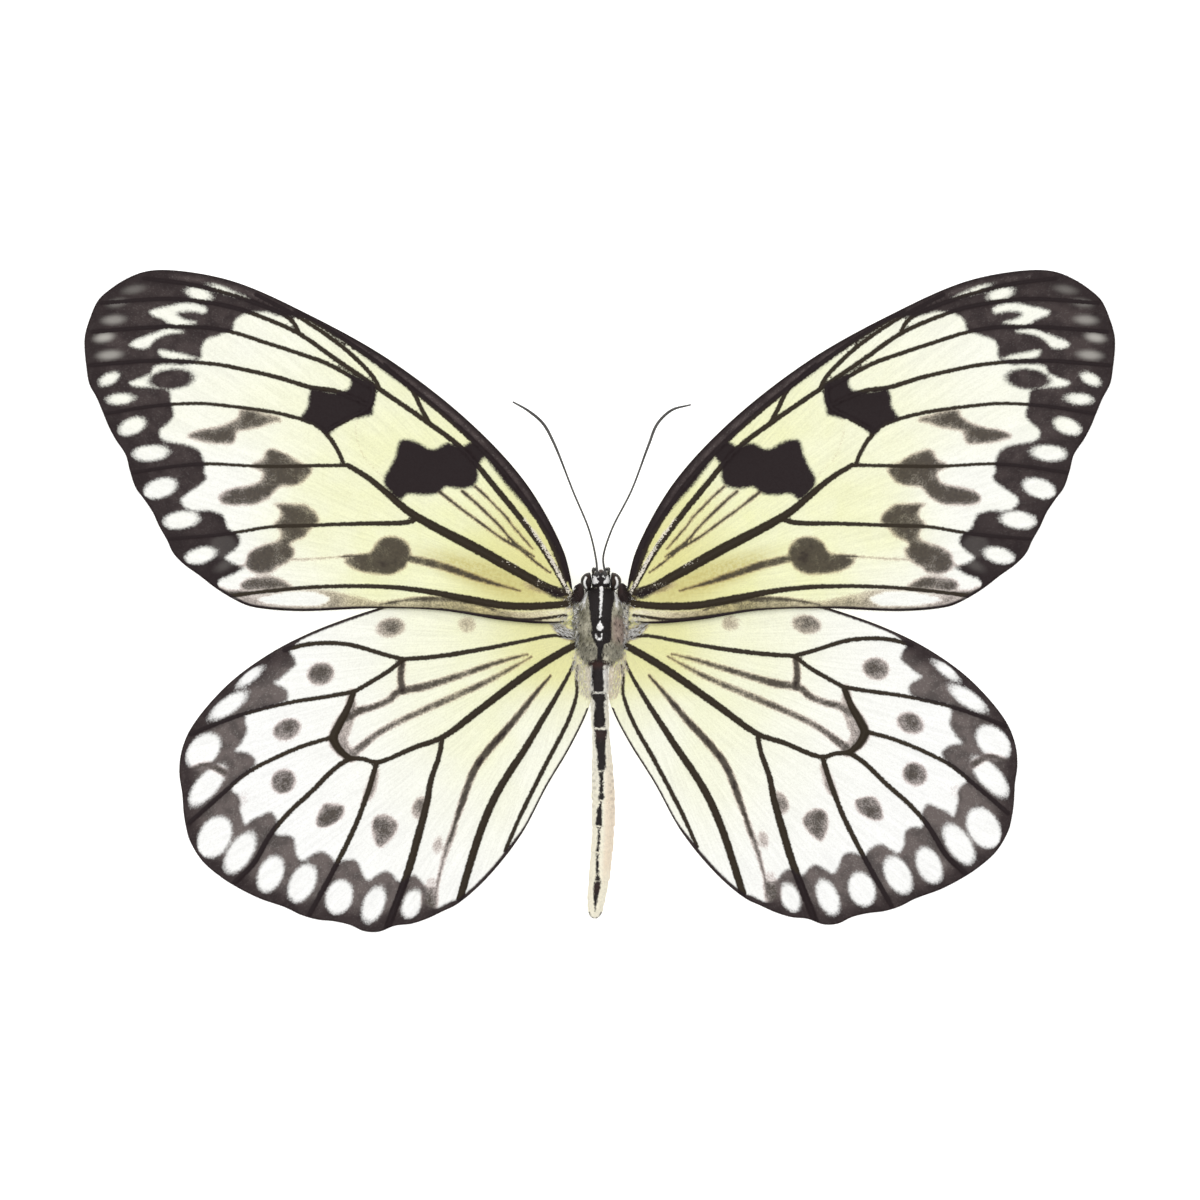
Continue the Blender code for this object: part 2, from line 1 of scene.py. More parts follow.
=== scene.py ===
"""The looks of a paper kite butterfly, set with its wings spread flat.

+X is the butterfly's right, +Y is towards its head and +Z is up. Sizes are in millimetres, and MM turns
them into metres where a mesh is made. Wing shapes are written for the right side, with X measured outwards.
"""
import math

import bmesh
import bpy
import numpy as np
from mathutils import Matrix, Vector
from mathutils.geometry import delaunay_2d_cdt


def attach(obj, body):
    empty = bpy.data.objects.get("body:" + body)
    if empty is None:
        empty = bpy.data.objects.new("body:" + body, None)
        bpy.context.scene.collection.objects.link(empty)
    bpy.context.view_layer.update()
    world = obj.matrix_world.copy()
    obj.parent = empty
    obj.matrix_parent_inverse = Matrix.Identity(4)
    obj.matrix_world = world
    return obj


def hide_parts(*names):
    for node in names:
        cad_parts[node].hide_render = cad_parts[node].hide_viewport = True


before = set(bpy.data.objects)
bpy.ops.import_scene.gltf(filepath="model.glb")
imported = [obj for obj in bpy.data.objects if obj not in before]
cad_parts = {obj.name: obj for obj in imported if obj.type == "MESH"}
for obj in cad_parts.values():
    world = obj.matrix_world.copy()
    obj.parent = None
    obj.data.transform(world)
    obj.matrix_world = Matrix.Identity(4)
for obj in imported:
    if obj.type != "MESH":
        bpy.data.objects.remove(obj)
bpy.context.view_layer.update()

MM = 0.001
PER_SQUARE_MM = 1 / MM ** 2
SEED = 11
SIDES = {-1: "left", 1: "right"}

# The camera looks straight down through a long lens at a square of the photograph's own size.
VIEW_WIDTH = 150
VIEW_CENTRE = (0.03, 0)
WING_PLANE_Z = 10.5
LENS = 360
SENSOR = 36

# How far the body lies right of the middle.
BODY_X = 0.15

# Wings: the level of the upper face, and how the left hindwing is set a little apart from the right one.
WING_ROOT_Z = 8.6
WING_RISE_DEG = 3.5
WING_CAMBER = 0.9
WING_HALF_LENGTH = 41
FOREWING_LIFT = -0.05
HINDWING_LIFT = -0.62
MEMBRANE = 0.07
MESH_STEP = 0.34
LEFT_HINDWING_TURN_DEG = -1.05
LEFT_HINDWING_SCALE = 1.013
HINDWING_HINGE = (3, -5)
# How far the dark scales of a vein lie past the foot of its tube, on each side.
VEIN_SPREAD = 0.05
HINGE_REACH = 12
FAR = 4.0


# Lines and distances

def smooth_line(points, step, closed=False):
    """Points along a centripetal Catmull-Rom curve through the given points, about one step apart."""
    p = np.array(points, float)
    if closed:
        p = np.vstack([p[-1:], p, p[:2]])
    else:
        p = np.vstack([2 * p[0] - p[1], p, 2 * p[-1] - p[-2]])
    pieces = []
    for p0, p1, p2, p3 in zip(p, p[1:], p[2:], p[3:]):
        t1 = math.sqrt(np.linalg.norm(p1 - p0))
        t2 = t1 + math.sqrt(np.linalg.norm(p2 - p1))
        t3 = t2 + math.sqrt(np.linalg.norm(p3 - p2))
        count = max(1, math.ceil(np.linalg.norm(p2 - p1) / step))
        t = (t1 + (t2 - t1) * np.arange(count) / count)[:, None]
        a1 = p0 + (p1 - p0) * t / t1
        a2 = p1 + (p2 - p1) * (t - t1) / (t2 - t1)
        a3 = p2 + (p3 - p2) * (t - t2) / (t3 - t2)
        b1 = a1 + (a2 - a1) * t / t2
        b2 = a2 + (a3 - a2) * (t - t1) / (t3 - t1)
        pieces.append(b1 + (b2 - b1) * (t - t1) / (t2 - t1))
    if not closed:
        pieces.append(p[-2:-1])
    return np.vstack(pieces)


def along(values, share):
    """The values at shares, from 0 to 1, of the way along evenly spread values."""
    return np.interp(share, np.linspace(0, 1, len(values)), values)


def blend_in(value, start, end):
    """0 before start, 1 after end, and a smooth rise between them."""
    t = np.clip((value - start) / (end - start), 0, 1)
    return t * t * (3 - 2 * t)


def distance_to_line(places, line):
    """How far each place is from a line, at most FAR, and how far along the line its nearest point lies."""
    nearest = np.full(len(places), FAR)
    share = np.zeros(len(places))
    near = np.flatnonzero((places > line.min(0) - FAR).all(1) & (places < line.max(0) + FAR).all(1))
    spots = places[near]
    best = np.full(len(near), FAR)
    best_share = np.zeros(len(near))
    lengths = np.linalg.norm(np.diff(line, axis=0), axis=1)
    before = np.concatenate([[0], np.cumsum(lengths)])
    for i, length in enumerate(lengths):
        ahead = (line[i + 1] - line[i]) / length
        t = np.clip((spots - line[i]) @ ahead, 0, length)
        away = np.linalg.norm(spots - line[i] - t[:, None] * ahead, axis=1)
        closer = away < best
        best[closer] = away[closer]
        best_share[closer] = (before[i] + t[closer]) / before[-1]
    nearest[near] = best
    share[near] = best_share
    return nearest, share


def is_inside(places, ring):
    """Which places lie inside a closed ring."""
    inside = np.zeros(len(places), bool)
    for a, b in zip(ring, np.roll(ring, -1, axis=0)):
        if a[1] == b[1]:
            continue
        crosses = (a[1] > places[:, 1]) != (b[1] > places[:, 1])
        inside ^= crosses & (places[:, 0] < a[0] + (b[0] - a[0]) * (places[:, 1] - a[1]) / (b[1] - a[1]))
    return inside


def depth_in(places, ring):
    """Depth of each place inside a closed ring. It is negative outside."""
    away, _ = distance_to_line(places, np.vstack([ring, ring[:1]]))
    return np.where(is_inside(places, ring), away, -away)


def depth_in_oval(places, oval):
    """Depth inside an oval given by its centre, its two half lengths and its turn in degrees."""
    x, y, long_half, short_half, turn = oval
    angle = math.radians(turn)
    arm = places - (x, y)
    u = (arm[:, 0] * math.cos(angle) + arm[:, 1] * math.sin(angle)) / long_half
    v = (arm[:, 1] * math.cos(angle) - arm[:, 0] * math.sin(angle)) / short_half
    return np.clip((1 - np.sqrt(u * u + v * v)) * min(long_half, short_half), -FAR, FAR)


def depth_in_shape(places, shape, step=MESH_STEP):
    """Depth inside a smooth ring through the given corners, or inside an oval of five numbers."""
    if isinstance(shape[0], tuple):
        return depth_in(places, smooth_line(shape, step, closed=True))
    return depth_in_oval(places, shape)


def depth_in_line(places, points, halves, step=MESH_STEP):
    """Depth inside a line with the given half widths at even shares of its length."""
    away, share = distance_to_line(places, smooth_line(points, step))
    return along(halves, share) - away


# Wing shapes: outlines, veins and markings of the right side

FOREWING_OUTLINE = (
    (2.6, -0.4), (3.3, 0.9), (3.65, 2.9), (4.6, 6.3), (9, 14.3), (16, 22), (26, 29.85), (36, 35.5),
    (46, 39.9), (54, 41.25), (57, 41), (59.2, 40.1), (61, 38.95), (62.65, 37.45), (63.75, 35), (64.3, 33),
    (64.35, 31.5), (64.1, 29), (63.75, 27), (62.8, 25.2), (62, 23.3), (61.3, 21.6), (60.5, 20.1),
    (59.2, 18.1), (58.7, 16.2), (57.95, 14), (57, 12.7), (55.8, 10.9), (55.05, 9.25), (54, 7.4), (53.3, 5.9),
    (52, 4.5), (50, 3.05), (48, 1.5), (46, 0.25), (44, -0.7), (42, -1.1), (37.5, -1.4), (28, -1.05),
    (20, -1.3), (12, -2.55), (6.8, -2.95), (4.2, -2.7), (2.7, -2.1),
)
HINDWING_OUTLINE = (
    (2.6, -3.4), (3.6, -2.6), (6, -1.9), (13, 0.4), (21, 0.8), (27, -0.55), (31, -1.75), (36, -3.6),
    (41, -6.1), (46.2, -9.85), (50.6, -14.9), (51.9, -17.9), (52.2, -20.5), (51.9, -23), (51.75, -25.5),
    (51.5, -27.2), (51.1, -28.8), (49.6, -31.4), (47.4, -33.4), (45.2, -34.85), (42.6, -36.2), (39.5, -37.35),
    (37.5, -38.35), (35.5, -38.95), (33.5, -39.2), (31.5, -39.7), (29.8, -40.5), (28, -40.6), (26, -39.9),
    (24, -39.7), (22, -39.1), (20, -38.2), (18.3, -37.4), (14.8, -34.5), (10.3, -29.1), (6.8, -22.85),
    (3.7, -17.9), (1.9, -14.5), (1.3, -12.9), (1.12, -11.5), (1.12, -9.8), (1.25, -8.4), (1.9, -7), (2.3, -6),
)

# Each vein: its points from the root outwards, and half its dark width at even shares of its length.
FOREWING_VEINS = {
    "subcosta": (((4.2, 2.6), (6.6, 8.2), (12, 15.9), (20, 23.6), (31, 31.9), (38, 36.1)), (0.3, 0.25)),
    "radius": (((3.9, 0.8), (5, 2.85), (7, 6.2), (10, 10.3), (13, 14), (17.2, 18.9), (22, 22.55), (27, 26),
        (33, 30.1), (37.6, 33.3), (41.8, 35.2), (46, 36.6), (53, 37.6), (62.3, 37.1)),
        (0.28, 0.34, 0.28, 0.26, 0.22, 0.2)),
    "radial_1": (((21.2, 21.9), (22.3, 23.9), (23.4, 26.1), (27, 29.6)), (0.26, 0.24, 0.1)),
    "radial_2": (((27.5, 26.3), (28.2, 27.7), (30.4, 30.1), (33, 32.3), (37, 35), (43, 38.2)),
        (0.24, 0.24, 0.2)),
    "radial_3": (((37.6, 33.3), (37.95, 34.1), (38.8, 35.2), (43.5, 37.3), (50.5, 39.3), (57, 40.2)),
        (0.24, 0.2)),
    "medial_1": (((28.7, 26.6), (31, 27.9), (34, 29.5), (38, 30.95), (42, 32.25), (46, 33.5), (50, 34.1),
        (55, 34.1), (63.4, 33.5)), (0.26, 0.22, 0.2, 0.2)),
    "medial_2": (((28.7, 24.3), (33, 26.1), (36, 26.55), (40, 27.75), (44, 28.7), (48, 29.45), (55, 29.9),
        (63.7, 29.3)), (0.3, 0.24, 0.2, 0.2)),
    "medial_3": (((34.2, 20.9), (35.6, 21.95), (40, 23.3), (46, 24.2), (50, 24.55), (55, 24.3), (61.6, 23.3)),
        (0.22, 0.18, 0.17)),
    "cell_end": (((28.3, 26.9), (28.8, 24.2), (31.2, 22.8), (34.2, 20.9), (33.6, 20.1), (32.5, 18.2),
        (32, 16.9)), (0.3, 0.3, 0.3, 0.24, 0.22)),
    "cubitus_stem": (((4.4, 0.9), (7, 1.75), (9, 2.85), (12, 4.5), (15, 6.2), (20, 8.8), (22, 9.9),
        (24, 11.15), (27, 13.7), (29, 15.3), (31.5, 16.85)), (0.4, 0.55, 0.6, 0.6, 0.52, 0.44, 0.34, 0.28)),
    "cubitus_1": (((31.5, 16.85), (35, 16.8), (42, 16.7), (49, 17), (53, 16.7), (58.3, 15.9)),
        (0.2, 0.16, 0.17)),
    "cubitus_2": (((22.6, 10.3), (24, 9.75), (30, 9.55), (37, 9.3), (41, 9.15), (47, 8.2), (53.8, 7.6)),
        (0.3, 0.2, 0.17, 0.16)),
    "anal_2": (((4.3, -0.5), (8, -0.78), (12, -0.68), (16, 0.02), (22, 1.15), (27, 1.65), (35, 1.65),
        (41, 1.15), (46.3, 0.5)), (0.4, 0.46, 0.42, 0.3, 0.24, 0.2, 0.2, 0.2)),
    "anal_1": (((4.2, -1.9), (9, -2.45), (13, -2.1), (20, -1.15)), (0.14, 0.14, 0.1)),
}
HINDWING_VEINS = {
    "radial_stem": (((3, -4.85), (5.5, -4.45), (10, -5.2), (14, -5.9), (20, -6.7), (24.4, -7)),
        (0.16, 0.2, 0.26, 0.24)),
    "subcosta": (((24.4, -7), (27, -6.25), (30, -5.3), (32, -4.9), (36, -4.9), (39, -5.6)), (0.24, 0.24)),
    "radial_sector": (((24.4, -7), (26, -8.3), (28, -9.5), (30.5, -10.9)), (0.24, 0.24)),
    "medial_1": (((30.5, -10.9), (34, -11.45), (38, -12), (44, -13.35), (48, -14.7), (50.8, -15.8)),
        (0.24, 0.2, 0.22)),
    "cell_end": (((30.5, -10.9), (31.35, -13), (32.4, -15), (33.1, -16.5), (32.4, -18), (31.2, -19.1)),
        (0.3, 0.4, 0.45, 0.3)),
    "medial_2": (((33.1, -16.4), (37, -17.5), (41, -19.15), (44, -20.75), (47, -23.2), (51.1, -26.7)),
        (0.24, 0.22, 0.24)),
    "medial_3": (((31.2, -19.1), (33, -20.3), (36, -23.15), (39, -25.85), (41.2, -28.45), (43.35, -31.95),
        (45.7, -34.2)), (0.28, 0.26, 0.28)),
    "cubitus_stem": (((3, -5.6), (5, -6.65), (9, -9.15), (15, -13.4), (19.75, -16.75), (23, -17.85),
        (27.85, -19.65), (29.5, -19.2), (31.2, -19.1)), (0.4, 0.46, 0.44, 0.4, 0.3, 0.26, 0.25)),
    "cubitus_1": (((27.85, -19.65), (28.9, -23), (30.6, -27.35), (33.6, -33.15), (36.5, -38.3)),
        (0.3, 0.28, 0.26)),
    "cubitus_2": (((19.7, -16.75), (20.15, -19), (21.2, -22), (21.8, -25), (22.95, -29), (24.2, -33.1),
        (27, -40.3)), (0.26, 0.33, 0.46, 0.43, 0.4)),
    "anal_2": (((3.2, -7.7), (3.7, -8.9), (5, -11.25), (9, -17.55), (13, -23.6), (15.05, -28), (17.1, -34.1),
        (17.9, -36.8)), (0.12, 0.3, 0.4, 0.44, 0.44, 0.42)),
    "anal_3": (((2.7, -8.2), (2.95, -9.65), (2.9, -11.6), (4, -14.9), (7, -20.35), (10.25, -26.6),
        (12.2, -30.9)), (0.12, 0.22, 0.24, 0.24, 0.2)),
}

# The black of the forewing: the border's inner edge from the root round the tip to the rear corner, and then
# back outside the wing.
FOREWING_BORDER = (
    (4.55, 3.15), (5, 4.9), (6.9, 8.7), (9.4, 11.8), (11.65, 14.3), (14.5, 18), (16.1, 19.8), (19, 22.7),
    (23.4, 26), (27, 28.6), (31, 31.6), (33.8, 33.5), (35.5, 34.6), (37.2, 35.3), (38.6, 35.3), (40, 35.5),
    (41.8, 36), (43, 35.95), (44.3, 35.75), (45.3, 35.2), (45.75, 34.4), (45.8, 33.75), (46.8, 33.4),
    (47.8, 33), (49.2, 32.5), (49.7, 31.7), (49.75, 30.4), (50.3, 29.8), (51.4, 29.4), (54.6, 29.4),
    (55.7, 29.1), (56, 28.4), (56.9, 27.9), (58.7, 27.1), (58.2, 26.75), (56, 26.6), (54.2, 26.4),
    (53.65, 25.9), (53.6, 24.9), (53.4, 24.2), (53.2, 23), (54, 22), (54.9, 21.2), (54.9, 20.4),
    (54.25, 19.9), (52, 19.45), (50.7, 19.1), (49.9, 18.5), (49.6, 17.8), (49.3, 17), (49.4, 16.1),
    (49.1, 15.2), (50, 14.3), (51.2, 13.5), (52.3, 12.5), (51.9, 11.7), (51.2, 11.3), (50.2, 11.15),
    (49, 11.2), (48, 11), (47.2, 10.7), (46.8, 10), (46.4, 9), (45.2, 8.2), (44.9, 7.3), (45.3, 6.6),
    (45.9, 6), (46.8, 5.3), (45.5, 4.5), (44.3, 4), (44.8, 3.75), (46.2, 3), (47.2, 2.65), (47.7, 2.1),
    (47.4, 1.4), (46.6, 0.7), (46.5, -1.5), (52, 0), (58, 8), (63, 14), (67, 26), (67, 36), (60, 43.5),
    (50, 43.5), (38, 39.5), (26, 33), (12, 21), (4, 11), (1.5, 4), (2.6, 1.6), (3.6, 1.3), (3.95, 2.1),
)
FOREWING_BLACK = {
    "border": FOREWING_BORDER,
    "cell_bar": ((14.3, 17.9), (15.1, 16.9), (15.2, 15.3), (15.6, 14.4), (16.5, 14), (18, 13.95),
        (19.2, 14.1), (20.3, 13.3), (22, 13.1), (24, 13.2), (25, 12.5), (26.3, 13.5), (27, 14.6),
        (26.9, 15.5), (26.2, 16.7), (25.5, 18.2), (25.3, 19.3), (24.9, 20), (24, 20.1), (22.5, 19.6),
        (21.5, 19), (20.4, 18.95), (19.4, 19.6), (18.3, 19.6), (17.2, 19.2), (16.4, 19.7), (15.6, 20),
        (13.8, 18.6)),
    "cell_end_patch": ((28.1, 26.9), (28, 25.3), (28.3, 24), (28.4, 23.2), (29.4, 22.9), (31.2, 22.5),
        (32.5, 21.8), (33.5, 21), (34.2, 20.6), (35.5, 21.8), (37.4, 22.7), (36.9, 23.6), (36.5, 24.3),
        (36.45, 25), (36.3, 25.8), (36, 26.5), (34.5, 26.2), (33, 26), (31.8, 26.2), (31.2, 26.8),
        (31.2, 27.6), (31.6, 28.3), (30.6, 28), (29.6, 27.7)),
    "root_blotch": ((4, 0.3), (5.2, 1.2), (6.4, 1.45), (7.2, 1.4), (6.6, 0.8), (5.6, 0.2)),
    "cell_spot": (53.5, 27.6, 2.85, 1.3, -5),
}
FOREWING_WHITE = {
    "upper_chevron": ((49.1, 36.35), (50.1, 36.9), (52, 37.1), (53.6, 36.75), (55.2, 36.4), (56.25, 36),
        (55.8, 35.55), (54.6, 35.1), (53.6, 34.5), (52, 34.3), (50.4, 34.65), (52, 35.1), (53, 35.8),
        (51.2, 36.1), (49.3, 35.9)),
    "middle_chevron": ((52, 33.5), (54, 33.9), (55.2, 33.5), (56.8, 32.9), (58.1, 32.4), (58.7, 31.9),
        (58.1, 31.55), (56.8, 31.45), (56.2, 31.75), (55.85, 32.25), (54.9, 32.9), (53.6, 33.3)),
    "middle_wedge": ((50.3, 30.15), (51.6, 30.6), (53, 30.9), (55.1, 31.15), (54.8, 30.5), (53.5, 30.15)),
    "rear_wedge": ((43.3, 3.3), (44.2, 3.6), (45, 3.4), (45.8, 2.9), (47, 2.5), (47.3, 2), (46.6, 1.4),
        (45.3, 1.45), (44.8, 2.2), (44, 2.9)),
    "front_streak": (47.2, 38.8, 1.5, 0.38, 20), "front_streak_tail": (45.7, 38.3, 1, 0.22, 20),
    "front_spot": (50.1, 38.25, 1.6, 0.72, 15), "margin_1": (61.3, 27.6, 1.3, 0.65, -25),
    "margin_2": (59.9, 25.1, 1.65, 0.65, -5), "margin_3": (58.4, 21.7, 1.75, 0.95, -22),
    "margin_4": (56.1, 18.35, 2.2, 0.95, -5), "margin_5": (54.9, 13.95, 2.1, 1.15, -18),
    "margin_6": (52.3, 10, 2.25, 1.05, -8), "margin_7": (49.9, 5.55, 1.95, 0.95, -15),
}
# Faint spots in the black tip: an oval, and how much of the black they take away.
FOREWING_FAINT = (
    ((58.2, 38.8, 1.4, 0.5, -10), 0.3), ((60.3, 37.1, 1.2, 0.5, -10), 0.36),
    ((60.7, 35, 1.4, 0.55, -5), 0.62), ((61.9, 32.8, 1.2, 0.55, -10), 1), ((61.2, 30.6, 1.5, 0.55, -5), 0.78),
    ((45.6, 0.2, 1.2, 0.3, -30), 0.3), ((47, 6.7, 1.7, 1.5, 0), 0.1), ((46.6, 4.5, 1.6, 0.6, -30), 0.14),
)
FOREWING_REAR_STRIP = (
    (4.4, -1.2), (10, -1.3), (14, -0.85), (18, 0), (21, 0.2), (26, -0.1), (32, -0.5), (36, -1), (37, -2),
    (20, -2), (12, -3.2), (4, -3.4),
)
# Sooty places, where black scales are mixed with pale ones, and painted shade under the root hair: a ring or
# an oval, and how black it is.
FOREWING_SOOT_AND_SHADE = (
    (((39.9, 22.8), (41.5, 23.3), (43.5, 23.8), (45, 23.8), (45.3, 23), (46.5, 22.2), (48, 21.7), (50, 21.35),
        (51.2, 20.9), (51.6, 20.4), (50.4, 19.9), (48, 19.45), (45.8, 19.5), (45.4, 20.3), (45.3, 20.9),
        (43, 21.35), (41, 22), (39.7, 22.3)), 0.72),
    (((36.2, 16.8), (37.2, 17.2), (38, 17.7), (39, 18.3), (40.2, 18.75), (41, 19), (41.8, 18.6),
        (42.25, 17.7), (43.4, 17.1), (43.4, 16.5), (42.3, 15.9), (42.4, 15.2), (43, 14.7), (44, 14.4),
        (46, 14), (47.2, 13.5), (47.7, 12.9), (47.5, 12.2), (47, 11.9), (44.8, 11.75), (43, 11.9),
        (41.6, 12.45), (41, 13), (40.5, 13.6), (40, 14), (38.4, 14.2), (37, 14.6), (36.5, 15.2),
        (35.9, 16)), 0.75),
    (((35, 9.8), (35.3, 10.8), (36, 11.5), (36.8, 12), (38, 12.1), (39.4, 12.2), (40.9, 12), (40.2, 11.4),
        (40, 10.6), (40.4, 10), (41, 9.4), (40.4, 8.9), (40, 8.3), (40.3, 7.6), (40.8, 7.3), (42, 7),
        (43, 6.6), (44, 5.8), (44.3, 4.9), (44.2, 4), (43, 3.2), (41.5, 3.2), (40.8, 3.4), (40.2, 4),
        (39.2, 4.5), (38.3, 5.2), (38, 6.3), (38.6, 6.9), (38, 7.3), (36.9, 7.8), (36.2, 8.5),
        (35.7, 9.2)), 0.73),
    (((38.2, 1.5), (39, 2.3), (40, 2.8), (41, 3.05), (43, 2.95), (44.5, 2.5), (45, 1.9), (44.6, 1.1),
        (42, 1.1), (40, 1.2)), 0.72),
    (FOREWING_REAR_STRIP, 0.5),
    (((43.8, 1.2), (45.2, 1.3), (46.4, 1.3), (47.2, 1.7), (48.4, 1.5), (46.6, 0.1), (45.2, 0.2),
        (44, 0.6)), 0.85),
    (((24, -0.1), (28, 0), (30, 0.5), (32, 0.9), (33.6, 1.3), (38, 1.5), (42, 1.1), (46.5, 0.5), (47, -0.4),
        (44, -1.5), (38, -2), (24, -2)), 0.43),
    (((23.5, 6), (24, 7.2), (25.2, 7.9), (27, 7.9), (28.1, 7.1), (28.7, 6.1), (30.6, 5.7), (32, 4.85),
        (30.6, 3.7), (28.6, 3.25), (26.2, 3.1), (24.5, 3.8), (23.7, 5)), 0.82),
    # The last oval, at the root, is painted shade: it darkens the wing under the root hair so that the gaps
    # between the hairs show dark.
    ((7.4, 1.5, 2.4, 0.7, 15), 0.5), ((3.7, -0.2, 1, 1, 0), 0.8),
)
# Sooty lines: points, half widths at even shares of the length, and how black they are.
FOREWING_SOOT_LINES = (
    (((10, 1.15), (14, 2.3), (18, 3.65), (20, 4.3), (24, 5.2), (28, 5.5), (32, 5.45)),
        (0.05, 0.34, 0.46, 0.4, 0.12), 0.8),
    (((13, -1.25), (15.5, -0.5), (19.3, 0.1), (23.5, 0.05), (27.5, -0.55)),
        (0.1, 0.22, 0.26, 0.22, 0.1), 0.8),
    (((32, 5.45), (36, 5.15), (40, 5), (44, 4.4), (48, 3.8), (51, 3.8)), (0.12, 0.1), 0.4),
    (((8.4, 6.4), (9.8, 8), (11, 9.4), (11.8, 10.5), (13, 11.7), (14, 12.75), (15.6, 14.2)),
        (0.06, 0.12, 0.14), 0.85),
    (((8.2, 5.4), (9.6, 6.4), (11, 7.5), (12.4, 9.1), (14, 10.7), (16, 12.6), (17.2, 13.6)),
        (0.06, 0.13, 0.16), 0.95),
    (((6.2, 3.4), (8.1, 4.8), (10, 6.35), (12.4, 7.8), (15, 9.7), (17, 11.15), (19, 12.7), (20, 13.5)),
        (0.05, 0.12, 0.13, 0.16), 0.95),
    (((27, 15.2), (29.5, 18), (30.5, 21), (30.2, 23)), (0.06, 0.06), 0.18),
)
FOREWING_WHITE_LENS = (
    (33.7, 0.15), (35, 0.8), (37, 1.12), (39, 1), (41, 0.6), (42.7, 0.05), (41.2, -0.45), (39, -0.7),
    (37, -0.78), (35, -0.65), (34.2, -0.3),
)

HINDWING_BORDER = (
    (37, -4.3), (38.3, -5.6), (37.8, -6.5), (37.6, -7.4), (38.5, -8.2), (39.5, -9.1), (40.3, -9.6),
    (39.6, -10), (38.9, -10.4), (38.6, -11.2), (38.9, -11.9), (40, -12.4), (42, -12.9), (43.8, -13.4),
    (43.9, -14.5), (43.7, -15.3), (44.1, -16.3), (44.6, -17.1), (45.3, -17.9), (44.4, -18), (43.5, -18.3),
    (42.75, -19.1), (43, -19.9), (44, -20.8), (45, -21.6), (45.9, -22.5), (45, -23.4), (44.75, -24.2),
    (44.8, -25), (44.5, -26.2), (44.2, -27), (43.5, -26.5), (42.4, -26), (41, -25.5), (40.4, -26.3),
    (40.2, -27.1), (40.6, -27.9), (40.2, -28.4), (39.2, -28.35), (38.3, -28.8), (38.1, -29.6), (38, -30.7),
    (37.4, -31.6), (36.3, -31.1), (35.5, -30.6), (34.6, -30.6), (33.7, -31.2), (33, -32), (32.2, -31.7),
    (30.9, -31.6), (30.2, -32.3), (29.9, -33.3), (29.2, -34.2), (28, -33.5), (27, -33.1), (26.2, -33.5),
    (25.4, -34.4), (24.7, -34.2), (23.8, -33.6), (23, -34), (22.3, -34.9), (22, -35.7), (22.2, -36.6),
    (21.9, -37.5), (20.8, -37.8), (19.6, -37.3), (18.7, -36.9), (15, -38), (22, -43), (36, -43), (48, -38),
    (55, -28), (55, -16), (48, -7.5), (40, -3),
)
HINDWING_BLACK = {"border": HINDWING_BORDER}
HINDWING_WHITE = {
    "margin_1": (43.3, -8.8, 1.9, 0.6, -38), "margin_2": (46, -12.3, 2.7, 0.95, -34),
    "margin_3": (49.2, -17.8, 2.5, 1.7, -45), "margin_4": (48.8, -22.1, 3.1, 1.3, -48),
    "margin_5": (48, -28.5, 2.7, 1.9, -60), "margin_6": (44.9, -30.5, 2.85, 1.4, -56),
    "margin_7": (41.2, -33.2, 2.35, 1.45, -65), "margin_8": (37.3, -34.4, 2.5, 1.5, -62),
    "margin_9": (32.8, -36.2, 2.15, 1.6, -70), "margin_10": (28.55, -37.2, 2.3, 1.25, -67),
    "margin_11": (23.85, -37.25, 1.85, 1.12, -68),
}
HINDWING_SOOT_AND_SHADE = (
    ((25.85, -3.05, 2, 1.28, -8), 0.57), ((16.4, -2.9, 1.25, 1.1, 10), 0.39),
    ((34.55, -8.6, 1.8, 1.5, -15), 0.64), ((38.85, -15.4, 1.9, 1.4, -22), 0.64),
    ((39.4, -21.8, 1.7, 1.55, -40), 0.65),
    # This ring under the root hair brush is painted shade: it darkens the wing so that the gaps between the
    # hairs show dark.
    (((2.7, -5), (3.6, -5.2), (4.8, -4.7), (5.9, -3.6), (6.2, -2.7), (5.2, -2.8), (4, -3.4),
        (2.9, -4.1)), 0.85),
    (((31.9, -25), (33, -24.6), (34.3, -24.5), (35.2, -25.6), (35.5, -27.4), (34.6, -27.7), (33.2, -27.2),
        (32.1, -26.3)), 0.68),
    (((25.3, -27.5), (26, -26.4), (27.2, -26), (28.4, -26.5), (28.7, -28), (28.4, -29.4), (27.7, -30.3),
        (26.7, -29.7), (25.8, -28.8)), 0.66),
    (((27.6, -20.3), (28.6, -21), (29.4, -22.8), (30, -24.9), (28.9, -24.6), (27.9, -23)), 0.55),
    ((22.6, -25.4, 1.6, 1.1, -70), 0.55), ((20.5, -30, 1.3, 0.75, -75), 0.38),
    (((20.5, -34.9), (21.3, -35), (22.4, -34.9), (22.7, -36), (22.5, -38.3), (20.9, -38.2),
        (20.5, -36.5)), 0.66),
    ((21.3, -34.7, 0.9, 0.8, 0), 0.3), ((45, -24.2, 1.6, 1, -40), 0.2),
)
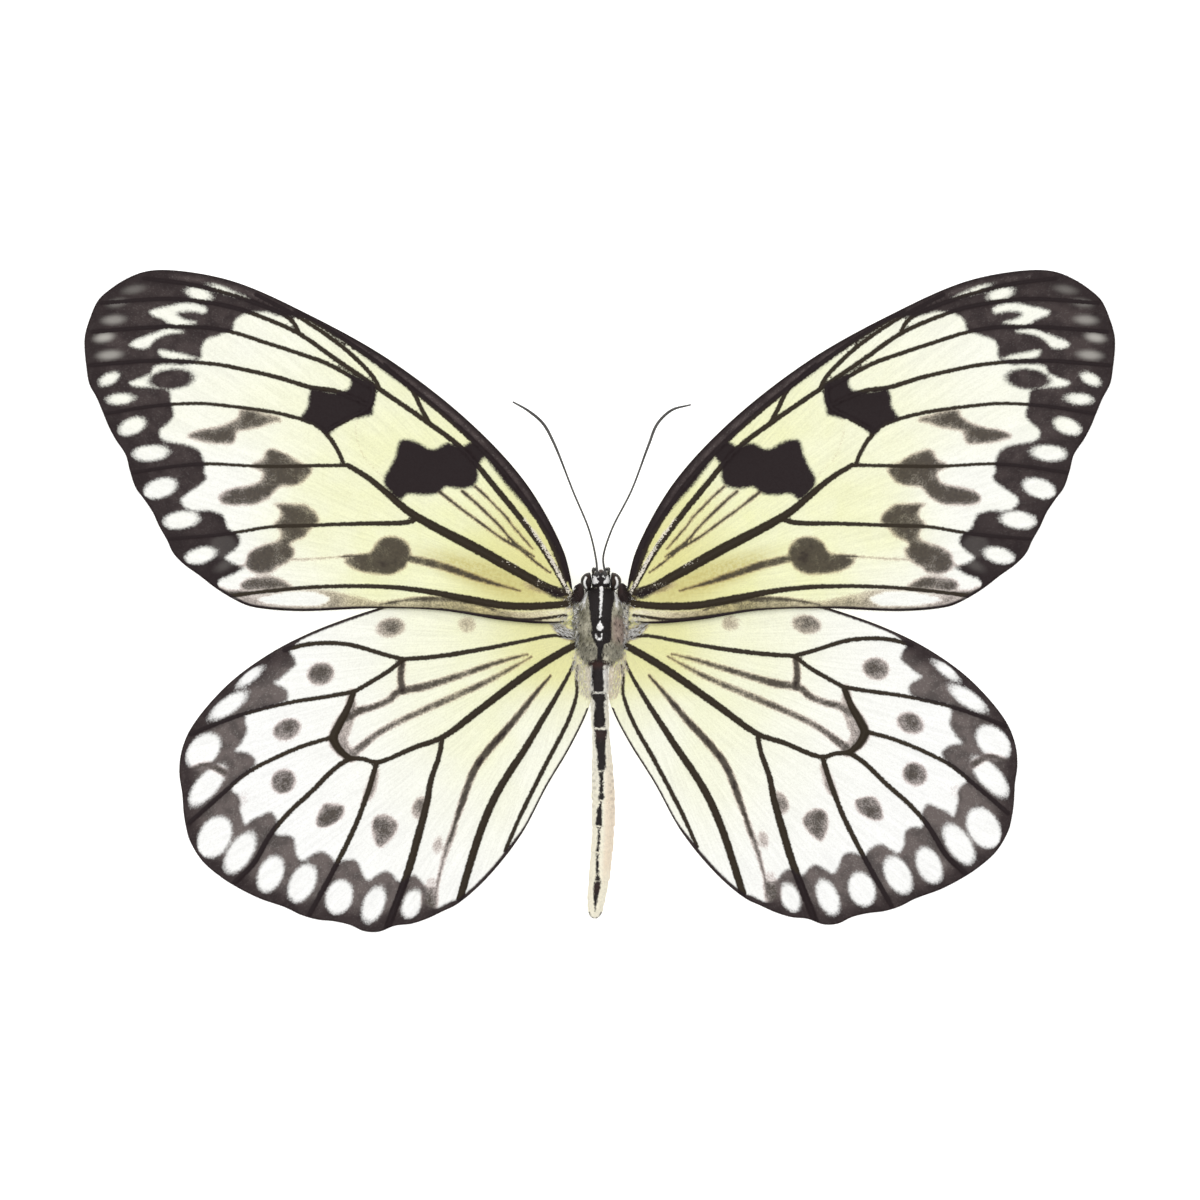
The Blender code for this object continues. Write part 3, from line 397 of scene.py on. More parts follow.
HINDWING_SOOT_LINES = (
    (((6.2, -9.5), (8, -11.55), (11, -15.1), (14, -18.35), (15.75, -20.7), (17.95, -26.35), (19, -29.4)),
        (0.08, 0.3, 0.4, 0.4, 0.36, 0.1), 1),
    (((18.4, -27.7), (19, -29.4), (19.8, -31.6), (20.6, -34.75), (21.2, -38)),
        (0.36, 0.34, 0.22, 0.14, 0.16), 0.66),
    (((9, -6.75), (12, -7.5), (16, -8.7), (20, -9.9), (22, -10.45), (24, -10.75), (25.2, -11.1), (26.2, -12),
        (28, -12.75), (30, -13.3), (31.2, -14)), (0.08, 0.24, 0.32, 0.38, 0.46, 0.42, 0.36, 0.5), 0.78),
    (((8.5, -7.05), (10, -7.9), (14, -9.95), (18, -11.65), (22, -13.35), (26, -15.15), (28, -16.35),
        (29.5, -17.5), (30.9, -18.6)), (0.08, 0.28, 0.36, 0.4, 0.36, 0.34, 0.55), 0.7),
    (((24.5, -7.2), (24.7, -9.4), (24.5, -10.9)), (0.34, 0.36, 0.42), 1.05),
    (((30.5, -10.9), (31.35, -13), (32.6, -15.2), (33.2, -16.6), (32.5, -18), (31, -19.3)),
        (0.2, 0.35, 0.55, 0.5, 0.3), 0.95),
    (((30.9, -11), (31, -13.1), (32, -15.2), (32.6, -16.6), (32, -17.9), (30.8, -19)),
        (0.4, 0.8, 1.2, 1.1, 0.6), 0.5),
    (((46.6, -20.6), (48.6, -19.6), (51, -20.2)), (0.45, 0.3), 0.75),
)


# Materials

class Net:
    """Adds nodes to a tree. A socket takes a plain value or another node's output."""

    def __init__(self, tree):
        self.tree = tree

    def feed(self, socket, value):
        if isinstance(value, bpy.types.NodeSocket):
            self.tree.links.new(value, socket)
        elif value is not None:
            socket.default_value = value

    def node(self, kind, inputs=(), **settings):
        """The outputs of a new node, whose inputs are given by label or number."""
        node = self.tree.nodes.new(kind)
        for label, value in settings.items():
            setattr(node, label, value)
        for label, value in dict(inputs).items():
            self.feed(node.inputs[label], value)
        return node.outputs

    def maths(self, operation, *values):
        return self.node("ShaderNodeMath", enumerate(values), operation=operation)[0]

    def plus(self, *values):
        return self.maths("ADD", *values)

    def minus(self, *values):
        return self.maths("SUBTRACT", *values)

    def times(self, *values):
        return self.maths("MULTIPLY", *values)

    def mix(self, share, first, second, way="MIX"):
        inputs = {"Factor": share, "A": first, "B": second}
        return self.node("ShaderNodeMix", inputs, data_type="RGBA", blend_type=way)["Result"]

    def ramp(self, value, start, end, low=0, high=1):
        """A smooth rise from low to high while the value goes from start to end."""
        inputs = {"Value": value, "From Min": start, "From Max": end, "To Min": low, "To Max": high}
        return self.node("ShaderNodeMapRange", inputs, interpolation_type="SMOOTHSTEP")["Result"]

    def noise(self, vector, scale, detail=3, roughness=0.55):
        inputs = {"Vector": vector, "Scale": scale, "Detail": detail, "Roughness": roughness}
        return self.node("ShaderNodeTexNoise", inputs)["Fac"]

    def read(self, name):
        """What the mesh carries under this name."""
        return self.node("ShaderNodeAttribute", attribute_name=name)["Fac"]

    def bump(self, height, distance):
        return self.node("ShaderNodeBump", {"Height": height, "Distance": distance})["Normal"]

    def group(self, tree, **inputs):
        labelled = {label.replace("_", " ").capitalize(): value for label, value in inputs.items()}
        return self.node("ShaderNodeGroup", labelled, node_tree=tree)

    def place(self):
        return self.node("ShaderNodeTexCoord")["Object"]

    def named(self, name, kind="FLOAT"):
        """The same as read, in a tree that makes hair."""
        return self.node("GeometryNodeInputNamedAttribute", {"Name": name}, data_type=kind)["Attribute"]

    def vectors(self, operation, first, second):
        inputs = {0: first, "Scale" if operation == "SCALE" else 1: second}
        return self.node("ShaderNodeVectorMath", inputs, operation=operation)[0]

    def dice(self, low, high, seed):
        """A random number for each point, or a random vector where low is one."""
        kind, first, result = ("FLOAT_VECTOR", 0, 0) if isinstance(low, tuple) else ("FLOAT", 2, 1)
        inputs = {first: low, first + 1: high, "Seed": SEED + seed}
        return self.node("FunctionNodeRandomValue", inputs, data_type=kind)[result]

    def store(self, geometry, name, kind, domain, value):
        inputs = {"Geometry": geometry, "Name": name, "Value": value}
        return self.node("GeometryNodeStoreNamedAttribute", inputs, data_type=kind, domain=domain)["Geometry"]

    def align(self, rotation, axis, pivot, vector):
        inputs = {"Rotation": rotation, "Vector": vector}
        return self.node("FunctionNodeAlignRotationToVector", inputs, axis=axis, pivot_axis=pivot)["Rotation"]


def new_group(name, inputs, outputs, family="Shader"):
    """A node group from inputs (label, kind and perhaps a value) and outputs (label and kind)."""
    tree = bpy.data.node_groups.new(name, family + "NodeTree")
    for label, kind, *value in inputs:
        socket = tree.interface.new_socket(label, in_out="INPUT", socket_type="NodeSocket" + kind)
        if value:
            socket.default_value = value[0]
    for label, kind in outputs:
        tree.interface.new_socket(label, in_out="OUTPUT", socket_type="NodeSocket" + kind)
    return Net(tree), tree.nodes.new("NodeGroupInput").outputs, tree.nodes.new("NodeGroupOutput").inputs


def new_material(name, roughness, specular, **constants):
    """A material, its nodes and its shader's inputs. Even values are set on the shader's own sockets."""
    material = bpy.data.materials.new(name)
    material.use_nodes = True
    shader = material.node_tree.nodes["Principled BSDF"].inputs
    constants.update(Roughness=roughness, Specular_IOR_Level=specular)
    for label, value in constants.items():
        shader[label.replace("_", " ")].default_value = value
    return material, Net(material.node_tree), shader


def build_scale_rows():
    """Rows of overlapping wing scales: a value for each scale, the height over it, and fine streaks."""
    net, given, end = new_group("wing scale rows", (("Grain", "Vector"), ("Fan", "Vector"),
                                                    ("Scale width", "Float", 0.11),
                                                    ("Scale length", "Float", 0.17)),
                                (("Shade", "Float"), ("Height", "Float"), ("Streak", "Float")))
    grain = net.node("ShaderNodeSeparateXYZ", {0: given["Grain"]})
    in_rows = net.node("ShaderNodeCombineXYZ", {"X": net.maths("DIVIDE", grain["X"], given["Scale width"]),
                                                "Y": net.maths("DIVIDE", grain["Y"], given["Scale length"])})
    cells = net.node("ShaderNodeTexVoronoi", {"Vector": in_rows[0], "Scale": 1, "Randomness": 0.6})
    net.feed(end["Shade"], net.node("ShaderNodeSeparateColor", {0: cells["Color"]})[0])
    net.feed(end["Height"], net.ramp(cells["Distance"], 0.75, 0.1))
    fan = net.node("ShaderNodeMapping", {"Vector": given["Fan"], "Scale": (2.2, 0.14, 1)})["Vector"]
    net.feed(end["Streak"], net.noise(fan, 1, 4, 0.6))
    return net.tree


def build_ragged_edge():
    """A mask that is 1 inside a marking, with the saw-toothed edge that single scales give it."""
    net, given, end = new_group("ragged marking edge", (("Depth", "Float", 0), ("Shade", "Float", 0.5),
                                                        ("Wobble", "Float", 0.5),
                                                        ("Raggedness", "Float", 0.1),
                                                        ("Softness", "Float", 0.08)), (("Mask", "Float"),))
    step = net.times(net.minus(given["Shade"], 0.5), given["Raggedness"])
    sway = net.times(net.minus(given["Wobble"], 0.5), given["Raggedness"])
    depth = net.plus(given["Depth"], net.plus(step, net.times(sway, 2)))
    net.feed(end["Mask"], net.ramp(depth, net.times(given["Softness"], -1), given["Softness"]))
    return net.tree


# The old gold of the forewing's cell, an oval.
FOREWING_GOLD = (14, 2.9, 8, 1.7, 20)
# Silvery streaks at the wings' roots, and white specks that are painted glints: points, half widths and
# strength.
FOREWING_SILVER_AND_GLINTS = (
    (((3.6, 0.6), (4.7, 2.5), (5.9, 4.8), (7.4, 7.2), (9.4, 10)), (0.16, 0.2, 0.18, 0.14, 0.06), 0.85),
    (((3.2, -1.3), (4.6, -1.5), (6.2, -1.6)), (0.5, 0.35, 0.2), 0.25),
    # The lines from here on are painted glints: sparse white specks of reflected light along the cubitus stem
    # and near the root.
    (((6.8, 2), (7.8, 2.4)), (0.22, 0.2), 0.24), (((10.4, 4.2), (12.2, 5)), (0.22, 0.2), 0.28),
    (((5, 0.9), (9, 2)), (0.7, 0.5), 0.12),
)
HINDWING_SILVER = ((((1.3, -8.6), (1.25, -10), (1.3, -12)), (0.5, 0.4, 0.1), 0.6),)

# Wing colours.
PAPER_WHITE = (0.95, 0.95, 0.93, 1)
PALE_YELLOW = (0.83, 0.84, 0.38, 1)
ROOT_YELLOW = (0.74, 0.7, 0.3, 1)
OLD_GOLD = (0.58, 0.51, 0.19, 1)
BLACK_SCALE = (0.016, 0.009, 0.01, 1)
BROWN_SCALE = (0.11, 0.084, 0.08, 1)
SOOT_AND_SHADE_SCALE = (0.082, 0.062, 0.042, 1)
SOOT_AND_SHADE_CAST = (1, 0.89, 0.88, 1)
VEIN_BROWN = (0.03, 0.021, 0.012, 1)
BARE_GREY = (0.5, 0.48, 0.44, 1)
SILVER_SCALE = (0.86, 0.8, 0.68, 1)


def make_wing_material(name, scale_rows, ragged_edge):
    """Wing membrane under rows of scales. The mesh carries the markings as depths in millimetres."""
    material, net, shader = new_material(name, 0.62, 0.14)
    rows = net.group(scale_rows, grain=net.node("ShaderNodeUVMap", uv_map="Grain")[0],
                     fan=net.node("ShaderNodeUVMap", uv_map="Fan")[0])
    shade = rows["Shade"]
    place = net.place()
    wobble = net.noise(place, 2600, 3)
    cloud = net.noise(place, 180, 4)
    blot = net.noise(place, 560, 3)

    tint = net.times(net.read("tint"), net.ramp(cloud, 0.2, 0.8, 0.85, 1.15))
    ground = net.mix(tint, PAPER_WHITE, PALE_YELLOW)
    ground = net.mix(net.read("root"), ground, ROOT_YELLOW)
    mottle = net.ramp(net.plus(wobble, net.times(shade, 0.3)), 0.5, 0.8,
                          0.65, 1.3)
    ground = net.mix(net.times(net.read("gold"), mottle), ground, OLD_GOLD)
    ground = net.mix(net.read("silver"), ground, SILVER_SCALE)
    streak = net.ramp(rows["Streak"], 0.25, 0.75, 0.93, 1.04)
    speck = net.ramp(shade, 0, 1, 0.955, 1.03)
    light = net.times(streak, speck)
    ground = net.mix(1, ground, light, "MULTIPLY")

    # Black scales dusted over the ground; under the root hair the same mask is painted shade.
    soot_and_shade_share = net.times(net.read("soot"),
                       net.ramp(blot, 0.3, 0.7, 0.84, 1.14))
    dusted_and_shaded = net.ramp(net.minus(soot_and_shade_share, net.times(shade, 0.18)),
                          -0.06, 0.72)
    dense = net.ramp(soot_and_shade_share, 0.85, 1.2)
    soot = net.mix(net.times(wobble, net.ramp(dense, 0, 1, 1, 0.3)),
                       BLACK_SCALE, SOOT_AND_SHADE_SCALE)
    dusted_and_shaded = net.times(dusted_and_shaded, net.ramp(dense, 0, 1, 0.96, 1))
    colour = net.mix(dusted_and_shaded, ground, soot)
    half_dusted_and_shaded = net.times(dusted_and_shaded, net.minus(1, dusted_and_shaded))
    colour = net.mix(net.times(half_dusted_and_shaded, 4), colour, SOOT_AND_SHADE_CAST, "MULTIPLY")

    ink = net.group(ragged_edge, depth=net.read("ink"), shade=shade, wobble=wobble,
                         raggedness=net.times(net.read("feather"), 0.6),
                         softness=net.read("feather"))[0]
    worn = net.times(net.read("worn"), net.ramp(blot, 0.32, 0.68, 0.45, 1.35))
    black = net.mix(worn, BLACK_SCALE, BROWN_SCALE)
    fleck = net.times(net.ramp(shade, 0.84, 0.94), net.read("worn"))
    black = net.mix(net.times(fleck, 0.16), black, BARE_GREY)
    black = net.mix(net.times(net.read("faint"), 0.8), black, BARE_GREY)
    colour = net.mix(ink, colour, black)

    vein = net.group(ragged_edge, depth=net.read("vein"), shade=shade, wobble=wobble,
                          raggedness=0.09, softness=0.09)[0]
    colour = net.mix(vein, colour, net.mix(ink, VEIN_BROWN, BLACK_SCALE))
    # Silver drawn over the veins: a full silvery streak where the share is high, and where it is low, sparse
    # white specks that are painted glints.
    glint = net.minus(net.read("silver"), net.times(shade, 0.6))
    colour = net.mix(net.ramp(glint, 0.04, 0.25, 0, 0.9), colour, SILVER_SCALE)
    net.feed(shader["Base Color"], colour)

    dark = net.maths("MAXIMUM", ink, vein)
    rough = net.ramp(net.plus(shade, dark), 0, 2, 0.72, 0.5)
    net.feed(shader["Roughness"], rough)
    height = net.plus(rows["Height"], net.times(rows["Streak"], 1.6))
    net.feed(shader["Normal"], net.bump(height, 0.012 * MM))
    return material


# Wings

def wing_level(x, y):
    """Level of the forewing's middle surface in the solids: it rises outwards, and its edges bend down."""
    rise = math.tan(math.radians(WING_RISE_DEG)) * np.abs(x)
    return WING_ROOT_Z + rise - WING_CAMBER * (y / WING_HALF_LENGTH) ** 2


class Wing:
    """The plan of a right wing: its corners and triangles, and its scales and veins at each corner."""

    def __init__(self, name, outline, veins, soot_lines):
        self.name = name
        self.lift, self.hinge, self.lean_deg, self.olive_edge, self.root_hair = WINGS[name]
        self.edge = smooth_line(outline[::-1], MESH_STEP, closed=True)
        self.veins = [(smooth_line(points, 2 * MESH_STEP), halves) for points, halves in veins.values()]
        self.fill([smooth_line(points, 2 * MESH_STEP) for points, _, _ in soot_lines])
        self.measure_veins()
        self.reach = np.linalg.norm(self.places - self.hinge, axis=1)

    def fill(self, lines):
        """Triangulates the outline with a net of even points that follows the veins and the fine lines."""
        low = self.edge.min(0)
        high = self.edge.max(0)
        rows = np.arange(low[1], high[1], MESH_STEP * math.sqrt(0.75))
        columns = np.arange(low[0], high[0], MESH_STEP)
        net = np.array([(x + (r % 2) * MESH_STEP / 2, y) for r, y in enumerate(rows) for x in columns])
        net = net[is_inside(net, self.edge)]
        clear = self.distance_to_edge(net) > 0.5 * MESH_STEP
        chains = []
        for line, halves in self.veins:
            chains.extend([line] + self.side_lines(line, halves))
        chains.extend(lines)
        for chain in chains:
            clear &= distance_to_line(net, chain)[0] > 0.35 * MESH_STEP
        corners = [Vector(p) for p in self.edge]
        edges = []
        for chain in chains:
            chain = chain[is_inside(chain, self.edge)]
            edges.extend((len(corners) + i, len(corners) + i + 1) for i in range(len(chain) - 1))
            corners.extend(Vector(p) for p in chain)
        corners.extend(Vector(p) for p in net[clear])
        face = list(range(len(self.edge)))
        corners, _, triangles, _, _, sources = delaunay_2d_cdt(corners, edges, [face], 1, 0.03)
        triangles = np.array([t for t, source in zip(triangles, sources) if source])
        used, numbers = np.unique(triangles, return_inverse=True)
        self.places = np.array([corners[i] for i in used])
        self.triangles = numbers.reshape(-1, 3)
        self.flat = self.flat_of(self.places)

    def distance_to_edge(self, places):
        return distance_to_line(places, np.vstack([self.edge, self.edge[:1]]))[0]

    def flat_of(self, places):
        """Places on the wing's flat map, as seen straight from above."""
        low = self.edge.min(0)
        return 0.01 + 0.47 * (places - low) / (self.edge.max(0) - low).max()

    def side_lines(self, line, halves):
        """The two feet of a vein's ridge."""
        ahead = np.gradient(line, axis=0)
        ahead /= np.linalg.norm(ahead, axis=1)[:, None]
        across = np.stack([-ahead[:, 1], ahead[:, 0]], 1)
        half = along(halves, np.linspace(0, 1, len(line)))[:, None]
        return [line + across * half, line - across * half]

    def measure_veins(self):
        """Depth inside the nearest vein, how far up its ridge a corner is, and the way to any vein."""
        self.vein = np.full(len(self.places), -FAR)
        self.ridge = np.zeros(len(self.places))
        self.from_vein = np.full(len(self.places), FAR)
        for line, halves in self.veins:
            away, share = distance_to_line(self.places, line)
            half = along(halves, share)
            self.vein = np.maximum(self.vein, half + VEIN_SPREAD - away)
            self.ridge = np.maximum(self.ridge, half * np.sqrt(np.clip(1 - (away / half) ** 2, 0, 1)))
            self.from_vein = np.minimum(self.from_vein, away)
        self.from_edge = self.distance_to_edge(self.places)

    def as_set(self, places, side):
        """Places on this side's wing: the left hindwing is turned and grown a little, but not at its root."""
        if side > 0 or self.name == "forewing":
            return places
        arm = places - HINDWING_HINGE
        turn = math.radians(LEFT_HINDWING_TURN_DEG)
        turned = LEFT_HINDWING_SCALE * np.stack([arm[:, 0] * math.cos(turn) - arm[:, 1] * math.sin(turn),
                                                 arm[:, 0] * math.sin(turn) + arm[:, 1] * math.cos(turn)], 1)
        free = np.clip(np.linalg.norm(arm, axis=1) / HINGE_REACH - 0.25, 0, 1)[:, None]
        return HINDWING_HINGE + arm + (turned - arm) * free

    def paint_black(self, black, white, edge_width):
        depth = np.where(near_body(self.places), -FAR, edge_width) - self.from_edge
        for shape in black.values():
            depth = np.maximum(depth, depth_in_shape(self.places, shape))
        for shape in white.values():
            depth = np.minimum(depth, -depth_in_shape(self.places, shape))
        self.ink = depth
        self.feather = 0.1 + 0.2 * blend_in(self.from_edge, 0.3, 1)

    def paint_soot_and_shade(self, shapes, lines, softness):
        share = np.zeros(len(self.places))
        for shape, strength in shapes:
            depth = depth_in_shape(self.places, shape) - 0.1
            core = 0.92 + 0.2 * blend_in(depth, 0.1, 1.3)
            share = np.maximum(share, strength * core * blend_in(depth, -softness, softness))
        for points, halves, strength in lines:
            depth = depth_in_line(self.places, points, halves)
            share = np.maximum(share, strength * blend_in(depth, -0.26, 0.2))
        self.soot = share

    def paint_silver_and_glints(self, lines):
        self.silver = np.zeros(len(self.places))
        for points, halves, strength in lines:
            depth = depth_in_line(self.places, points, halves)
            self.silver = np.maximum(self.silver, strength * blend_in(depth, -0.2, 0.2))


def edge_pairs(triangles):
    """The directed edges that only one triangle has."""
    pairs = np.vstack([triangles[:, [0, 1]], triangles[:, [1, 2]], triangles[:, [2, 0]]])
    known = {(a, b) for a, b in pairs.tolist()}
    return np.array([(a, b) for a, b in pairs.tolist() if (b, a) not in known])


def link_object(name, data):
    obj = bpy.data.objects.new(name, data)
    bpy.context.scene.collection.objects.link(obj)
    return obj


def link_mesh(name, points, faces, material):
    """A new smooth object from points in millimetres."""
    mesh = bpy.data.meshes.new(name)
    mesh.from_pydata((points * MM).tolist(), [], faces)
    mesh.materials.append(material)
    mesh.shade_smooth()
    return link_object(name, mesh)


def add_values(mesh, name, values):
    layer = mesh.attributes.new(name, "FLOAT", "POINT")
    layer.data.foreach_set("value", np.asarray(values, np.float32))


def add_vectors(mesh, name, values):
    layer = mesh.attributes.new(name, "FLOAT_VECTOR", "POINT")
    layer.data.foreach_set("vector", np.asarray(values, np.float32).ravel())


def add_map(mesh, name, places):
    """A UV map from one place for each face corner."""
    layer = mesh.uv_layers.new(name=name, do_init=False)
    layer.uv.foreach_set("vector", np.asarray(places, np.float32).ravel())


def corner_points(mesh):
    index = np.empty(len(mesh.loops), np.int32)
    mesh.loops.foreach_get("vertex_index", index)
    return index


def make_wing(wing, side, material):
    """A thin membrane with tube veins that stand out of both its faces."""
    plan = wing.as_set(wing.places, side)
    x, y = plan.T
    sag = 0.14 * (1 - np.exp(-(wing.from_vein / 1.4) ** 2))
    wave = 0.07 * np.sin(0.55 * x + 0.9 * side) * np.sin(0.5 * y + 0.3) * blend_in(x, 8, 20)
    level = wing_level(x, y) + wing.lift - sag + wave
    top = np.stack([side * x, y, level + 0.75 * wing.ridge], 1)
    bottom = np.stack([side * x, y, level - MEMBRANE - 0.55 * wing.ridge], 1)
    count = len(plan)
    triangles = wing.triangles[:, ::side]
    a, b = edge_pairs(triangles).T
    rim = np.vstack([np.stack([b, a, a + count], 1), np.stack([b, a + count, b + count], 1)])
    faces = np.vstack([triangles, triangles[:, ::-1] + count, rim])
    obj = link_mesh(f"{wing.name}_skin_{SIDES[side]}", np.vstack([top, bottom]), faces.tolist(), material)
    mesh = obj.data
    for label in ("ink", "soot", "vein", "tint", "root", "gold", "faint", "worn", "silver", "feather"):
        add_values(mesh, label, np.tile(getattr(wing, label), 2))

    corner = corner_points(mesh)
    own = corner % count
    lean = math.radians(wing.lean_deg)
    arm = wing.places - wing.hinge
    grain = np.stack([arm[:, 0] * math.sin(lean) - arm[:, 1] * math.cos(lean),
                      arm[:, 0] * math.cos(lean) + arm[:, 1] * math.sin(lean)], 1)
    fan = np.stack([np.arctan2(arm[:, 1], arm[:, 0]) * 40, wing.reach], 1)
    add_map(mesh, "Grain", grain[own] + (300 if side < 0 else 0))
    add_map(mesh, "Fan", fan[own] + (300 if side < 0 else 0))
    spot = wing.flat[own].copy()
    below = corner >= count
    on_rim = np.arange(len(corner)) >= 3 * (len(faces) - len(rim))
    spot[below & ~on_rim] += (0.5, 0)
    outward = wing.flat[own] - wing.flat.mean(0)
    outward /= np.linalg.norm(outward, axis=1)[:, None]
    spot[below & on_rim] += 0.004 * outward[below & on_rim]
    add_map(mesh, "OFBake", spot)
    return obj


def near_body(places):
    """Where a wing's edge lies against the body and carries neither a dark line nor a fringe."""
    return (places[:, 0] < 4.2) & (places[:, 1] > -13.3)


def fore_plan():
    wing = Wing("forewing", FOREWING_OUTLINE, FOREWING_VEINS, FOREWING_SOOT_LINES)
    x, y = wing.places.T
    reach = wing.reach
    dark_rear = 0.13 * blend_in(x, 26, 32) * blend_in(y, 3, 1)
    dark_rear += 0.14 * blend_in(x, 5, 8) * (1 - blend_in(x, 14, 24)) * blend_in(y, 0, -1)
    wing.paint_black(FOREWING_BLACK, FOREWING_WHITE, 0.22 + dark_rear)
    wing.paint_soot_and_shade(FOREWING_SOOT_AND_SHADE, FOREWING_SOOT_LINES, 0.4)
    lens = blend_in(depth_in_shape(wing.places, FOREWING_WHITE_LENS), -0.15, 0.15)
    strip = blend_in(depth_in_shape(wing.places, FOREWING_REAR_STRIP), -0.4, 0.4) * blend_in(y, 0.3, -0.2)
    wing.soot *= (1 - lens) * (1 - 0.6 * strip * (1 - blend_in(x, 5, 13)))
    wing.faint = np.zeros(len(x))
    for oval, strength in FOREWING_FAINT:
        wing.faint = np.maximum(wing.faint, strength * blend_in(depth_in_oval(wing.places, oval), -0.3, 0.4))
    wing.tint = np.interp(reach, (8, 20, 32, 42, 52, 64), (0.85, 0.68, 0.6, 0.42, 0.25, 0.16))
    wing.tint *= 1 - 0.7 * blend_in(x, 36, 46) * blend_in(y, 25, 15)
    wing.tint *= (1 - 0.7 * lens) * (1 - 0.45 * blend_in(y, 9, 2) * blend_in(reach, 25, 34))
    grey = strip * (1 - blend_in(x, 10, 16))
    wing.tint *= 1 - 0.45 * grey
    wing.root = 0.85 * (1 - blend_in(reach, 7, 20)) * (1 - 0.6 * grey)
    wing.gold = 0.7 * blend_in(depth_in_oval(wing.places, FOREWING_GOLD), -0.9, 1)
    wing.paint_silver_and_glints(FOREWING_SILVER_AND_GLINTS)
    lobes = blend_in(wing.from_edge, 1.2, 3.2) * (1 - 0.8 * np.exp(-(wing.from_vein / 0.6) ** 2))
    from_front = wing.from_edge * (y > 0.75 * x)
    worn_front = 0.5 * np.exp(-((from_front - 0.8) / 0.35) ** 2) * blend_in(reach, 6, 20)
    wing.worn = np.maximum(blend_in(reach, 40, 52) * (0.12 + 0.2 * lobes), worn_front)
    return wing


def hind_plan():
    wing = Wing("hindwing", HINDWING_OUTLINE, HINDWING_VEINS, HINDWING_SOOT_LINES)
    x, y = wing.places.T
    reach = wing.reach
    dark_front = 0.14 * blend_in(x, 24, 30) * blend_in(y, -12, -8)
    dark_rear = 0.2 * blend_in(x, 9, 12) * blend_in(y, -26, -30)
    wing.paint_black(HINDWING_BLACK, HINDWING_WHITE, 0.24 + dark_front + dark_rear)
    wing.paint_soot_and_shade(HINDWING_SOOT_AND_SHADE, HINDWING_SOOT_LINES, 0.3)
    wing.faint = 0.09 * blend_in(wing.from_edge, 1, 3)
    wing.tint = np.interp(reach, (5, 12, 20, 26, 32, 40), (0.75, 0.55, 0.38, 0.18, 0.06, 0))
    inner = blend_in(y, -8, -14) * (1 - blend_in(x, 8, 14))
    wing.tint *= 1 - 0.4 * inner
    wing.root = 0.6 * (1 - blend_in(reach, 4, 14)) * (1 - 0.5 * inner)
    wing.gold = np.zeros(len(x))
    wing.paint_silver_and_glints(HINDWING_SILVER)
    wing.worn = 0.2 + 0.75 * blend_in(wing.from_edge, 0.5, 3.5) * (1 - 0.75
                                                                   * np.exp(-(wing.from_vein / 0.7) ** 2))
    return wing


# Lofted pieces

def loft(rings, patch=(0.01, 0.01, 0.98, 0.98)):
    """A closed skin through rings of equally many corners: its points, faces and flat places."""
    rings = np.asarray(rings, float)
    count, sides = rings.shape[:2]
    points = np.vstack([rings.reshape(-1, 3), rings[0].mean(0)[None], rings[-1].mean(0)[None]])
    r, s = np.meshgrid(np.arange(count - 1), np.arange(sides), indexing="ij")
    r, s = r.ravel(), s.ravel()
    after = (s + 1) % sides
    quads = np.stack([r * sides + s, r * sides + after, (r + 1) * sides + after, (r + 1) * sides + s], 1)
    quad_u = np.stack([s, s + 1, s + 1, s], 1) / sides
    quad_v = np.stack([r, r, r + 1, r + 1], 1) / (count - 1)
    s = np.arange(sides)
    after = (s + 1) % sides
    first = np.stack([s, np.full(sides, count * sides), after], 1)
    last = np.stack([s, after, np.full(sides, count * sides + 1)], 1) + [(count - 1) * sides,
                                                                         (count - 1) * sides, 0]
    faces = quads.tolist() + first.tolist() + last.tolist()
    u = np.concatenate([quad_u.ravel(), (np.stack([s, s + 0.5, s + 1], 1) / sides).ravel(),
                        (np.stack([s, s + 1, s + 0.5], 1) / sides).ravel()])
    v = np.concatenate([quad_v.ravel(), np.tile([0.004, 0, 0.004], sides), np.tile([0.996, 0.996, 1], sides)])
    volume = sum(np.dot(points[f[0]] - points[0], np.cross(points[f[i]] - points[0],
                                                           points[f[i + 1]] - points[0])) for f in faces
                 for i in range(1, len(f) - 1))
    place = np.stack([patch[0] + (patch[2] - patch[0]) * u, patch[1] + (patch[3] - patch[1]) * v], 1)
    if volume < 0:
        turned = []
        start = 0
        for f in faces:
            turned.append(np.arange(start + len(f) - 1, start - 1, -1))
            start += len(f)
        faces = [f[::-1] for f in faces]
        place = place[np.concatenate(turned)]
    return points, faces, place


def ring_path(path, radii, sides, flatness=1, up=(0, 0, 1)):
    """Rings square to a path, without twist. Flatness presses them along their second axis."""
    path = np.asarray(path, float)
    ahead = np.gradient(path, axis=0)
    ahead /= np.linalg.norm(ahead, axis=1)[:, None]
    across = np.cross(ahead[0], up)
    if np.linalg.norm(across) < 0.1:
        across = np.cross(ahead[0], (0, 1, 0))
    angle = 2 * math.pi * (np.arange(sides) + 0.5) / sides
    rings = []
    for centre, forward, radius in zip(path, ahead, radii):
        across = across - forward * np.dot(across, forward)
        across /= np.linalg.norm(across)
        upward = np.cross(across, forward)
        rings.append(centre + radius * (np.cos(angle)[:, None] * across + flatness * np.sin(angle)[:, None]
                                        * upward))
    return np.array(rings)


